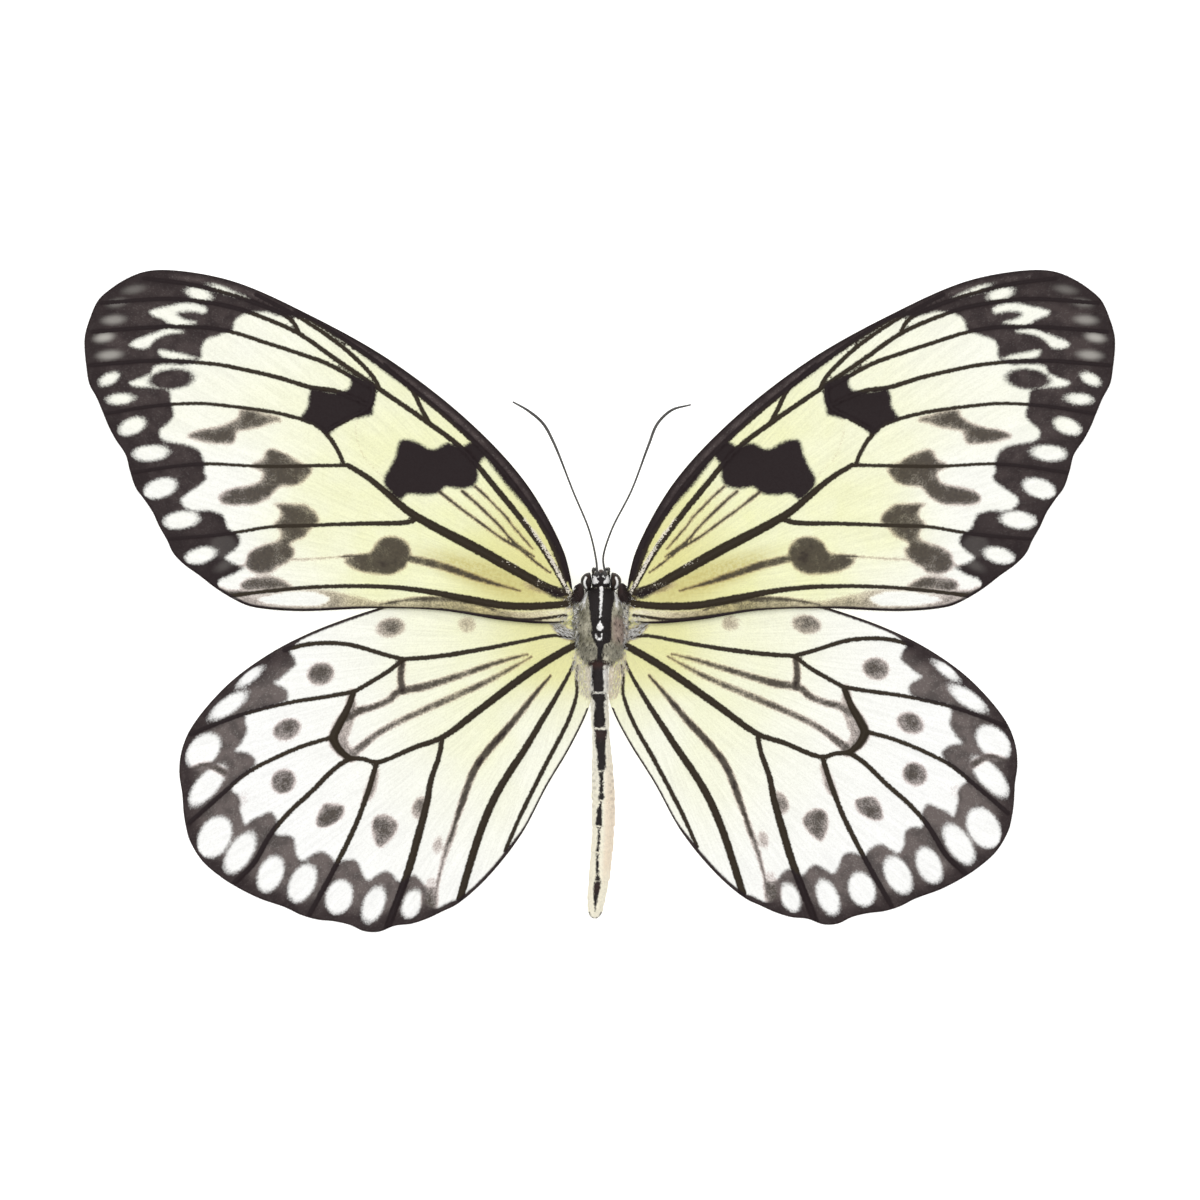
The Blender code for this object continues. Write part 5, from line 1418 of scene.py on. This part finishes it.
def make_coat_material(name, skin_grain, ragged_edge, on_hair):
    """The body's scales and hair. The mesh says where they are dark, white, olive, pink or silver, and where
    they are rusty brown, which on the tegulae is a painted brown highlight.
    """
    material, net, shader = new_material(name, 0.6, 0.25, Sheen_Weight=0.1, Sheen_Roughness=0.4)
    place = net.place()
    grain = net.group(skin_grain, place=place, size=0.1)
    shade = net.read("tone") if on_hair else grain["Shade"]
    wobble = net.noise(place, 1700, 3)
    cloud = net.noise(place, 420, 4)
    patchy = net.ramp(cloud, 0.25, 0.75, 0.55, 1.3)
    colour = net.mix(net.times(net.read("silver"), patchy), CREAM, SILVER_HAIR)
    colour = net.mix(net.times(net.read("olive"), patchy), colour, OLIVE_HAIR)
    pink = net.mix(net.read("olive"), PEACH, PINKISH_HAIR)
    colour = net.mix(net.read("pink"), colour, pink)
    raggedness = 0.34 if on_hair else 0.2
    dark = net.group(ragged_edge, depth=net.read("dark"), shade=shade, wobble=wobble,
                          raggedness=raggedness, softness=0.09)[0]
    # Rusty brown over the dark: real rust on the body, and on the tegulae a painted brown highlight.
    rust_and_sheen_share = net.times(net.read("rust"), patchy)
    colour = net.mix(dark, colour, net.mix(rust_and_sheen_share, COAL, RUST_AND_SHEEN_BROWN))
    white = net.group(ragged_edge, depth=net.read("white"), shade=shade, wobble=wobble,
                           raggedness=0.12, softness=0.06)[0]
    colour = net.mix(white, colour, CLEAN_WHITE)
    light = net.ramp(shade, 0, 1, 0.86, 1.06)
    if on_hair:
        light = net.times(light, net.ramp(net.read("along"), 0, 0.8, 0.8,
                                                            1.08))
    net.feed(shader["Base Color"], net.mix(1, colour, light, "MULTIPLY"))
    net.feed(shader["Roughness"], net.ramp(shade, 0, 1, 0.5, 0.72))
    if not on_hair:
        net.feed(shader["Normal"], net.bump(net.plus(grain["Height"], wobble),
                                                 0.02 * MM))
    return material


def make_eye_material(skin_grain):
    """Glossy facets, with a matt pale rim of scales."""
    material, net, shader = new_material("eye_facets", 0.3, 0.12, Coat_Roughness=0.15)
    place = net.place()
    facets = net.group(skin_grain, place=place, size=0.045)
    pale = net.ramp(net.plus(net.read("pale"),
                                    net.times(facets["Shade"], 0.08)), -0.02, 0.08)
    glint = net.noise(place, 700, 2)
    base = net.mix(net.ramp(glint, 0.3, 0.7), (0.01, 0.007, 0.006, 1),
                       (0.03, 0.018, 0.012, 1))
    base = net.mix(net.read("socket"), base, COAL)
    net.feed(shader["Base Color"], net.mix(pale, base, CLEAN_WHITE))
    net.feed(shader["Roughness"], net.ramp(pale, 0, 1, 0.3, 0.7))
    net.feed(shader["Coat Weight"], net.ramp(pale, 0, 1, 0.06, 0))
    net.feed(shader["Normal"], net.bump(facets["Height"], 0.008 * MM))
    return material


def make_horn_material(name, skin_grain, first, second, roughness, scale=0.06):
    """Dark horny cover with fine grain, lit up a little in patches, and pale where the mesh says so."""
    material, net, shader = new_material(name, roughness, 0.45)
    place = net.place()
    grain = net.group(skin_grain, place=place, size=scale)
    cloud = net.noise(place, 800, 4)
    colour = net.mix(net.ramp(cloud, 0.3, 0.7), first, second)
    pale = net.ramp(net.plus(net.read("pale"),
                                    net.times(grain["Shade"], 0.06)), -0.02, 0.07)
    colour = net.mix(net.times(pale, 0.85), colour, CLEAN_WHITE)
    light = net.ramp(grain["Shade"], 0, 1, 0.8, 1.15)
    net.feed(shader["Base Color"], net.mix(1, colour, light, "MULTIPLY"))
    net.feed(shader["Roughness"], net.ramp(cloud, 0.2, 0.8, roughness - 0.08,
                                                        roughness + 0.12))
    net.feed(shader["Normal"], net.bump(net.plus(grain["Height"], cloud),
                                             0.015 * MM))
    return material


def make_fringe_material():
    """Single scales of the wings' fringe, each a little lighter or darker than the next."""
    material, net, shader = new_material("fringe_scales", 0.6, 0.25)
    tone = net.read("tone")
    colour = net.mix(net.read("olive"), FRINGE_BROWN, OLIVE_EDGE)
    light = net.times(net.ramp(tone, 0, 1, 0.6, 1.4),
                  net.ramp(net.read("along"), 0, 1, 0.85, 1.2))
    net.feed(shader["Base Color"], net.mix(1, colour, light, "MULTIPLY"))
    net.feed(shader["Roughness"], net.ramp(tone, 0, 1, 0.5, 0.7))
    return material


# Hair and fringe

def build_tuft_tree():
    """Tufts over a skin, whose attributes say where they grow, how long they are and which way they lie."""
    net, given, end = new_group(
        "tufts over a skin",
        (("Skin", "Geometry"), ("Tuft", "Object"), ("Density", "Float"), ("Lift", "Float")) + TUFT_INPUTS,
        (("Coat", "Geometry"),), "Geometry")
    density = net.times(net.named("hairy"), given["Density"])
    scatter = net.node("GeometryNodeDistributePointsOnFaces",
                       {"Mesh": given["Skin"], "Density": density, "Seed": given["Seed"]})
    lifted = net.vectors("SCALE", scatter["Normal"], given["Lift"])
    lie = net.vectors("ADD", net.named("lie", "FLOAT_VECTOR"), lifted)
    finish_tufts(net, given, end, scatter["Points"], lie, 1, scatter["Normal"])
    return net.tree


def build_fringe_tree():
    """Scales in a row along an edge, which the helper mesh gives as a line with its outward direction."""
    net, given, end = new_group("scales along an edge", (("Edge", "Geometry"), ("Tuft", "Object"),
                                                         ("Spacing", "Float")) + TUFT_INPUTS,
                                (("Coat", "Geometry"),), "Geometry")
    edge = net.node("GeometryNodeMeshToCurve", {"Mesh": given["Edge"]})["Curve"]
    even = net.node("GeometryNodeResampleCurve", {"Curve": edge, "Length": given["Spacing"]}, mode="LENGTH")
    finish_tufts(net, given, end, even["Curve"], net.named("lie", "FLOAT_VECTOR"), 0.5, (0, 0, 1))
    return net.tree


def finish_tufts(net, given, end, points, lie, rise, outward):
    """Sets a tuft on each point, turns it along the coat, and gives it a patch of the skin's flat map."""
    stray = net.vectors("SCALE", net.dice((-1, -1, -rise), (1, 1, rise), 1), given["Stray"])
    turn = net.align(None, "Y", "AUTO", net.vectors("ADD", lie, stray))
    turn = net.align(turn, "Z", "Y", outward)
    place = net.node("GeometryNodeInstanceOnPoints", {
        "Points": net.store(points, "tone", "FLOAT", "POINT", net.dice(0, 1, 3)),
        "Instance": net.node("GeometryNodeObjectInfo", {"Object": given["Tuft"]})["Geometry"],
        "Rotation": turn,
        "Scale": net.times(net.dice(given["Least size"], 1, 2), net.named("hair_length"))})
    coat = net.node("GeometryNodeRealizeInstances", {"Geometry": place["Instances"]})["Geometry"]
    patch = net.vectors("SCALE", net.named("own_patch", "FLOAT_VECTOR"), TUFT_PATCH)
    spot = net.vectors("ADD", net.named("root_place", "FLOAT_VECTOR"), patch)
    coat = net.store(coat, "OFBake", "FLOAT2", "CORNER", spot)
    coat = net.node("GeometryNodeSetMaterial", {"Geometry": coat, "Material": given["Finish"]})["Geometry"]
    net.feed(end["Coat"], coat)


TUFT_PATCH = 0.003
TUFT_INPUTS = (("Stray", "Float"), ("Least size", "Float"), ("Seed", "Int"), ("Finish", "Material"))


def make_tuft(name, hairs, width, spread, bend, flatness=1, blunt=0):
    """A tuft one millimetre long: a few tapered three-sided hairs from one root, along +Y, back to +Z."""
    dice = np.random.default_rng(SEED)
    points, faces, patch, share = [], [], [], []
    for hair in range(hairs):
        sideways = spread * ((hair + 0.5) / hairs - 0.5) * 2 if hairs > 1 else 0
        aim = np.array((sideways, 1, dice.uniform(-0.3, 0.3) * spread))
        aim *= dice.uniform(0.75, 1) / np.linalg.norm(aim)
        start = np.array((dice.uniform(-0.4, 0.4) * spread, 0, 0))
        base = len(points)
        for place, wide in ((0, 0.8), (0.35, 1), (0.72, 0.62 + 0.3 * blunt)):
            centre = start + aim * place + (0, 0, -bend * place ** 2)
            for corner in range(3):
                angle = math.radians(90 + 120 * corner)
                round_it = np.array((math.cos(angle), 0, flatness * math.sin(angle)))
                points.append(centre + 0.5 * width * wide * round_it)
                patch.append((corner / 3 - 0.33, place - 0.5, 0))
                share.append(place)
        points.append(start + aim + (0, 0, -bend))
        patch.append((0, 0.5, 0))
        share.append(1)
        for a in range(base, base + 6):
            b = a + 1 if (a - base) % 3 < 2 else a - 2
            faces.append((a, b, b + 3, a + 3))
        faces.extend((base + 6 + corner, base + 6 + (corner + 1) % 3, base + 9) for corner in range(3))
        faces.append((base + 2, base + 1, base))
    mesh = bpy.data.meshes.new(name)
    mesh.from_pydata((np.array(points) * MM).tolist(), [], faces)
    shape = bmesh.new()
    shape.from_mesh(mesh)
    bmesh.ops.recalc_face_normals(shape, faces=shape.faces)
    shape.to_mesh(mesh)
    shape.free()
    add_vectors(mesh, "own_patch", patch)
    add_values(mesh, "along", share)
    return link_object(name, mesh)


def grow(name, helper, growth, slot, **given):
    """Runs a tree of tufts on a helper mesh and keeps the result as a plain mesh of its own."""
    given["tuft"], tree, given["finish"] = growth
    values = {"Least size": 0.6, **{label.replace("_", " ").capitalize(): value for label,
                                    value in given.items()}}
    modifier = helper.modifiers.new("growth", "NODES")
    modifier.node_group = tree
    for item in tree.interface.items_tree:
        if item.in_out == "INPUT" and item.name in values:
            modifier[item.identifier] = values[item.name]
    bpy.context.view_layer.update()
    evaluated = helper.evaluated_get(bpy.context.evaluated_depsgraph_get())
    mesh = bpy.data.meshes.new_from_object(evaluated)
    helper.modifiers.remove(modifier)
    bpy.data.objects.remove(helper, do_unlink=True)
    mesh.name = name
    for label in ("own_patch", "root_place", "lie", "hairy", "hair_length"):
        if label in mesh.attributes:
            mesh.attributes.remove(mesh.attributes[label])
    mesh.uv_layers["OFBake"].active = True
    mesh.shade_smooth()
    dress(link_object(name, mesh), slot)


def cut_patch(source, low=-math.inf, high=math.inf):
    """A helper mesh of a finished piece's faces between two places along the body, attributes and all."""
    mesh = source.data.copy()
    shape = bmesh.new()
    shape.from_mesh(mesh)
    gone = [face for face in shape.faces if not low < face.calc_center_median().y / MM <= high]
    bmesh.ops.delete(shape, geom=gone, context="FACES")
    shape.to_mesh(mesh)
    shape.free()
    return link_object("helper", mesh)


# Coat: where hair grows, how long it is and which way it lies

def set_coat(mesh, flat, hairy, length, lie):
    """Each corner's place on the flat map, and how thick, how long and which way its hair grows."""
    add_vectors(mesh, "root_place", flat)
    add_values(mesh, "hairy", np.zeros(len(flat)) + hairy)
    add_values(mesh, "hair_length", np.zeros(len(flat)) + length)
    add_vectors(mesh, "lie", np.zeros((len(flat), 3)) + lie)


def mesh_points(mesh):
    places = np.empty(3 * len(mesh.vertices), np.float32)
    mesh.vertices.foreach_get("co", places)
    return places.reshape(-1, 3).astype(float) / MM


def comb_body(body):
    """Short hair on the back, long soft hair on the flanks and behind, and silvery hair along the abdomen."""
    points = mesh_points(body.data)
    x, y, z = points.T
    centre, level, half_width, half_height = body_profile(y)
    aside = np.clip((x - centre) / half_width, -1, 1)
    above = np.clip((z - level) / half_height, -1, 1)
    chest = blend_in(y, -8.1, -7.6)
    head = blend_in(y, 1.5, 1.75)
    flank = blend_in(np.abs(aside), 0.35, 0.8)
    rear_lobe = blend_in(-y, 5, 5.9) * chest * blend_in(above, -0.3, 0.3)
    hairy = chest * (0.75 + 0.35 * flank + 0.5 * rear_lobe) * (1 - 0.45 * blend_in(-above, 0.2, 0.7))
    hairy += (1 - chest) * (0.42 + 0.4 * flank * blend_in(y, -20, -9))
    hairy *= 1 + 0.6 * blend_in(y, 2.9, 3.3)
    hairy *= 1 - 0.8 * blend_in(-y, 39.3, 39.7)
    length = chest * (0.42 + 0.5 * flank + 0.55 * rear_lobe * (1 - 0.75 * blend_in(-y, 6.2, 7))) * (1 - 0.55
                                                                                                    * head)
    length += (1 - chest) * (0.3 + 0.42 * flank * blend_in(y, -17, -9))
    sideways = 0.55 * chest * aside * (1 - head) + 0.12 * (1 - chest) * aside
    lie = np.stack([sideways, np.where(y > 1.64, 0.55, -1), -0.25 * np.abs(aside) * chest], 1)
    rows = (len(points) - 2) // BODY_SIDES
    flat = np.zeros((len(points), 3))
    flat[:-2, 0] = 0.01 + 0.97 * np.tile((np.arange(BODY_SIDES) + 0.5) / BODY_SIDES, rows)
    flat[:-2, 1] = 0.01 + 0.97 * np.repeat(np.arange(rows) / (rows - 1), BODY_SIDES)
    flat[-2:, :2] = (0.5, 0.01), (0.5, 0.98)
    set_coat(body.data, flat, hairy, length, lie)


def grow_body_coat(body, hair):
    """The coat in two pieces, the head and chest's and the abdomen's."""
    for name, slot, low, high, density in (("chest_coat", "thorax", -8.3, 10, 13),
                                           ("abdomen_coat", "abdomen", -50, -8.3, 12)):
        grow(name, cut_patch(body, low, high), hair, slot, density=density * PER_SQUARE_MM, lift=0.35,
             stray=0.22, seed=SEED)


# Where the wings' edge is olive rather than dark.
FOREWING_OLIVE_EDGE = ((2, -6), (44, -6), (44, 1.5), (2, 1.5))
HINDWING_OLIVE_EDGE = ((0, -22), (8, -27), (9, -22), (5, -3), (0, -3))

# Hair on the wings' roots: shape on the right wing, thickness, length, lie, silver share and olive share.
FOREWING_ROOT_HAIR = (
    ((3.3, 0.2, 0.9, 0.7, 0), 1.6, 0.5, (0.7, -0.7), 1, 0),
    ((3.4, -1.2, 0.8, 1, 0), 1.2, 0.6, (0.8, -0.6), 0.8, 0.25),
    (((3, -1.9), (4.2, -1.7), (5.4, -2), (5, -2.7), (3.4, -2.8)), 0.9, 0.8, (0.6, -0.8), 0.35, 0.3),
)
HINDWING_ROOT_HAIR = (
    (((2.7, -5), (3.6, -5.1), (4.7, -4.6), (5.8, -3.5), (6.1, -2.7), (5.2, -2.85), (4, -3.5),
        (2.9, -4.2)), 1.9, 0.95, (0.9, 0.6), 1, 0),
    (((2.4, -3), (3.9, -2.5), (4.6, -2.7), (3.9, -3.3), (2.7, -4)), 1, 0.8, (0.7, -0.3), 0.3, 0.35),
    (((1.6, -5.9), (3.2, -6.4), (3.4, -8), (2.9, -10), (2.2, -11.8), (1.3, -12.3), (1.2, -8.5)), 3.2, 0.7,
        (-0.1, -1), 0.4, 0),
)
# Each wing: its level, where its scale rows fan out from, their slant, its olive edge and its root hair.
WINGS = {
    "forewing": (FOREWING_LIFT, (3, 0), 32, FOREWING_OLIVE_EDGE, FOREWING_ROOT_HAIR),
    "hindwing": (HINDWING_LIFT, HINDWING_HINGE, -42, HINDWING_OLIVE_EDGE, HINDWING_ROOT_HAIR),
}


def grow_root_hair(wing, skin, side, hair):
    """Hair on the upper face near the wing's root."""
    reach = np.linalg.norm(wing.places - (3, -3), axis=1)
    near = wing.triangles[(reach[wing.triangles] < 12).all(1)]
    used, numbers = np.unique(near, return_inverse=True)
    triangles = numbers.reshape(-1, 3)[:, ::side]
    helper = link_mesh("helper", mesh_points(skin.data)[used], triangles.tolist(), hair[2])
    places = wing.places[used]
    hairy, length = np.zeros(len(places)), np.full(len(places), 0.3)
    lie = np.tile([float(side), 0, 0], (len(places), 1))
    silver, olive = hairy.copy(), hairy.copy()
    for shape, thick, long, aim, shiny, greenish in wing.root_hair:
        depth = depth_in_shape(places, shape, 0.2)
        inside = depth > -0.15
        hairy[inside] = thick * blend_in(depth[inside], -0.15, 0.15)
        length[inside] = long
        lie[inside] = (side * aim[0], aim[1], 0)
        silver[inside] = shiny
        olive[inside] = greenish
    pink = np.where(places[:, 1] < -6, 0.3 + 0.15 * side, 0)
    # Where the hair is silvery, more of its tufts are dark: painted shade between the white hairs.
    colours = body_colours(dark=-0.3 + 0.27 * silver, white=-0.1 + 0.13 * silver, olive=olive, pink=pink,
                           silver=silver)
    for label, values in colours.items():
        add_values(helper.data, label, hairy * 0 + values)
    flat = np.column_stack([wing.flat[used], 0 * hairy])
    set_coat(helper.data, flat, hairy, length, lie)
    grow(f"{wing.name}_root_hair_{SIDES[side]}", helper, hair, "wing", density=14 * PER_SQUARE_MM, lift=0.3,
         stray=0.25, seed=SEED + 2)


def grow_fringe(wing, side, fringe):
    """A row of scales all round the wing's edge."""
    plan = wing.as_set(wing.edge, side)
    ahead = np.roll(plan, -1, axis=0) - np.roll(plan, 1, axis=0)
    ahead /= np.linalg.norm(ahead, axis=1)[:, None]
    outward = np.stack([ahead[:, 1], -ahead[:, 0]], 1)
    places = plan - 0.08 * outward
    level = wing_level(places[:, 0], places[:, 1]) + wing.lift - MEMBRANE / 2
    front = blend_in(outward[:, 1], 0.35, 0.75) * (plan[:, 0] < 58)
    away = blend_in(wing.edge[:, 0], 2.5, 5)
    free = ~near_body(wing.edge)
    mesh = bpy.data.meshes.new("edge")
    count = len(places)
    mesh.from_pydata((np.column_stack([side * places[:, 0], places[:, 1], level]) * MM).tolist(),
                     [(i, (i + 1) % count) for i in range(count) if free[i] and free[(i + 1) % count]], [])
    lie = outward + 0.5 * front[:, None] * np.array([0.8, 0.6])
    olive = blend_in(depth_in(wing.edge, np.array(wing.olive_edge, float)), -1, 1)
    add_vectors(mesh, "lie", np.column_stack([side * lie[:, 0], lie[:, 1], np.zeros(count)]))
    add_values(mesh, "hair_length", (0.3 - 0.17 * front) * (0.35 + 0.65 * away))
    add_values(mesh, "olive", olive)
    add_vectors(mesh, "root_place", np.column_stack([wing.flat_of(wing.edge), np.zeros(count)]))
    grow(f"{wing.name}_fringe_{SIDES[side]}", link_object("edge", mesh), fringe, "wing", spacing=0.13 * MM,
         stray=0.22, least_size=0.65, seed=SEED + 5)


def grow_on(name, piece, growth, slot, density, lift):
    """Hair or spines on a finished piece that carries its own coat attributes."""
    grow(name, cut_patch(piece), growth, slot, density=density * PER_SQUARE_MM, lift=lift, stray=0.2,
         seed=SEED + 9)


# The middle line of the soft wing root on the right side.
WING_ROOT_PATH = ((2.2, 1.05, 8.85), (2.75, 0.2, 8.85), (3, -1, 8.7), (3, -2.4, 8.5), (2.9, -4, 8.2),
                  (2.7, -5.6, 8), (2.3, -6.9, 7.9))


def make_wing_root(name, side, material):
    """The soft lumpy membrane between the chest and the wings' roots."""
    path = smooth_line([(side * x, y, z) for x, y, z in WING_ROOT_PATH], 0.16)
    path[:, 0] += BODY_X
    share = np.linspace(0, 1, len(path))
    radii = along((0.3, 0.42, 0.5, 0.52, 0.5, 0.45, 0.3), share) * (1 + 0.1 * np.sin(31 * share))
    shape = loft(ring_path(*rounded_ends(path, radii), 24, 0.85))
    x, y, _ = shape[0].T
    # The few white tufts that the white share gives here are painted glints among the olive hair.
    colours = body_colours(dark=0.18 * np.sin(5 * y) * np.sin(9 * x + y) - 0.03, white=-0.045, olive=0.85,
                           pink=0.35 * (side > 0) * blend_in(-y, 2, 3.5) * (1 - blend_in(-y, 5, 6)),
                           silver=0.4 - 0.2 * blend_in(-y, 3.5, 5.5))
    obj = join_lofts(name, [shape], material, **colours)
    set_coat(obj.data, flat_places(shape), 1, 0.55 + 0.35 * blend_in(-y, 1, 5), (0.5 * side, -1, 0.2))
    return obj


# Stage, light and camera

def make_stage():
    floor = link_object("studio_floor", bpy.data.meshes.new("studio_floor"))
    half = 1500 * MM
    floor.data.from_pydata([(-half, -half, 0), (half, -half, 0), (half, half, 0), (-half, half, 0)], [],
                           [(0, 1, 2, 3)])
    white, _, _ = new_material("studio_floor_white", 0.9, 0, Base_Color=(0.95, 0.95, 0.95, 1),
                               Emission_Color=(1, 1, 1, 1), Emission_Strength=0.5)
    floor.data.materials.append(white)


def make_light():
    world = bpy.data.worlds.new("studio_air")
    bpy.context.scene.world = world
    world.use_nodes = True
    air = world.node_tree.nodes["Background"].inputs
    air["Color"].default_value = (1, 1, 1, 1)
    air["Strength"].default_value = 0.58
    lamp = bpy.data.lights.new("softbox", "AREA")
    lamp.shape = "RECTANGLE"
    lamp.size = 1.2
    lamp.size_y = 1.2
    lamp.energy = 7.5
    box = link_object("softbox", lamp)
    box.location = (-0.1, 0.16, 1)
    box.rotation_euler = box.location.to_track_quat("Z", "Y").to_euler()


def make_camera():
    data = bpy.data.cameras.new("camera")
    data.lens = LENS
    data.sensor_width = SENSOR
    data.clip_end = 20
    camera = link_object("camera", data)
    height = WING_PLANE_Z + VIEW_WIDTH * LENS / SENSOR
    camera.location = (VIEW_CENTRE[0] * MM, VIEW_CENTRE[1] * MM, height * MM)
    bpy.context.scene.camera = camera


def dress(piece, slot, *nodes):
    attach(piece, "root")
    if nodes:
        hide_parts(*nodes)


def main():
    bpy.context.scene.view_settings.view_transform = "Standard"
    make_stage()
    make_light()
    make_camera()
    ragged_edge = build_ragged_edge()
    skin_grain = build_skin_grain()
    wing_scales = make_wing_material("wing_scales", build_scale_rows(), ragged_edge)
    body_scales = make_coat_material("body_scales", skin_grain, ragged_edge, False)
    body_hair = make_coat_material("body_hair", skin_grain, ragged_edge, True)
    eye_facets = make_eye_material(skin_grain)
    feeler_horn = make_horn_material("feeler_horn", skin_grain, (0.045, 0.042, 0.04, 1),
                                     (0.09, 0.085, 0.08, 1), 0.5)
    tongue_horn = make_horn_material("tongue_horn", skin_grain, (0.035, 0.015, 0.008, 1),
                                     (0.09, 0.04, 0.02, 1), 0.35)
    leg_scales = make_horn_material("leg_scales", skin_grain, (0.014, 0.011, 0.01, 1),
                                    (0.035, 0.028, 0.024, 1), 0.5)
    tuft_tree = build_tuft_tree()
    tuft = make_tuft("hair_tuft", 3, 0.055, 0.16, 0.12)
    spine = make_tuft("leg_spine", 1, 0.09, 0, 0.05)
    scale = make_tuft("fringe_scale", 1, 0.11, 0, 0, 0.3, 1)
    hair = (tuft, tuft_tree, body_hair)
    brush = (tuft, tuft_tree, leg_scales)
    spines = (spine, tuft_tree, leg_scales)
    fringe = (scale, build_fringe_tree(), make_fringe_material())

    # What each side has: how it is made, its name, slot and finish; its coat's name, kind, density, lift.
    paired = (
        (make_eye, "eye", "eye", eye_facets, ()),
        (make_antenna, "antenna", "feeler", feeler_horn, ()),
        (make_palp, "palp", "palp", body_scales, ("coat", hair, 30, 0.5)),
        (make_tegula, "tegula", "thorax", body_scales, ("coat", hair, 30, 0.35)),
        (make_walking_leg, "midleg", "leg", leg_scales, ("spines", spines, 7, 0.5)),
        (make_walking_leg, "hindleg", "leg", leg_scales, ("spines", spines, 7, 0.5)),
        (make_foreleg, "foreleg", "leg", leg_scales, ("brush", brush, 16, 0.6)),
    )
    wings = (fore_plan(), hind_plan())
    for side, side_name in SIDES.items():
        skins = [make_wing(wing, side, wing_scales) for wing in wings]
        for wing, skin in zip(wings, skins):
            dress(skin, "wing", f"{wing.name}_{side_name}")
        for wing in wings:
            grow_fringe(wing, side, fringe)
        for wing, skin in zip(wings, skins):
            grow_root_hair(wing, skin, side, hair)
        root = make_wing_root("wing_root_" + side_name, side, body_scales)
        dress(root, "thorax")
        grow_on("wing_root_coat_" + side_name, root, hair, "thorax", 12, 0.5)
        for make, node, slot, material, coat in paired:
            piece = make(f"{node}_skin_{side_name}", side, material)
            dress(piece, slot, f"{node}_{side_name}")
            for label, growth, density, lift in [coat] if coat else ():
                grow_on(f"{node}_{label}_{side_name}", piece, growth, slot, density, lift)

    dress(make_tongue(tongue_horn), "feeler", "proboscis")
    body = make_body(body_scales)
    comb_body(body)
    dress(body, "thorax", "thorax", "head", "abdomen")
    grow_body_coat(body, hair)
    for helper in (tuft, spine, scale):
        bpy.data.objects.remove(helper, do_unlink=True)


main()
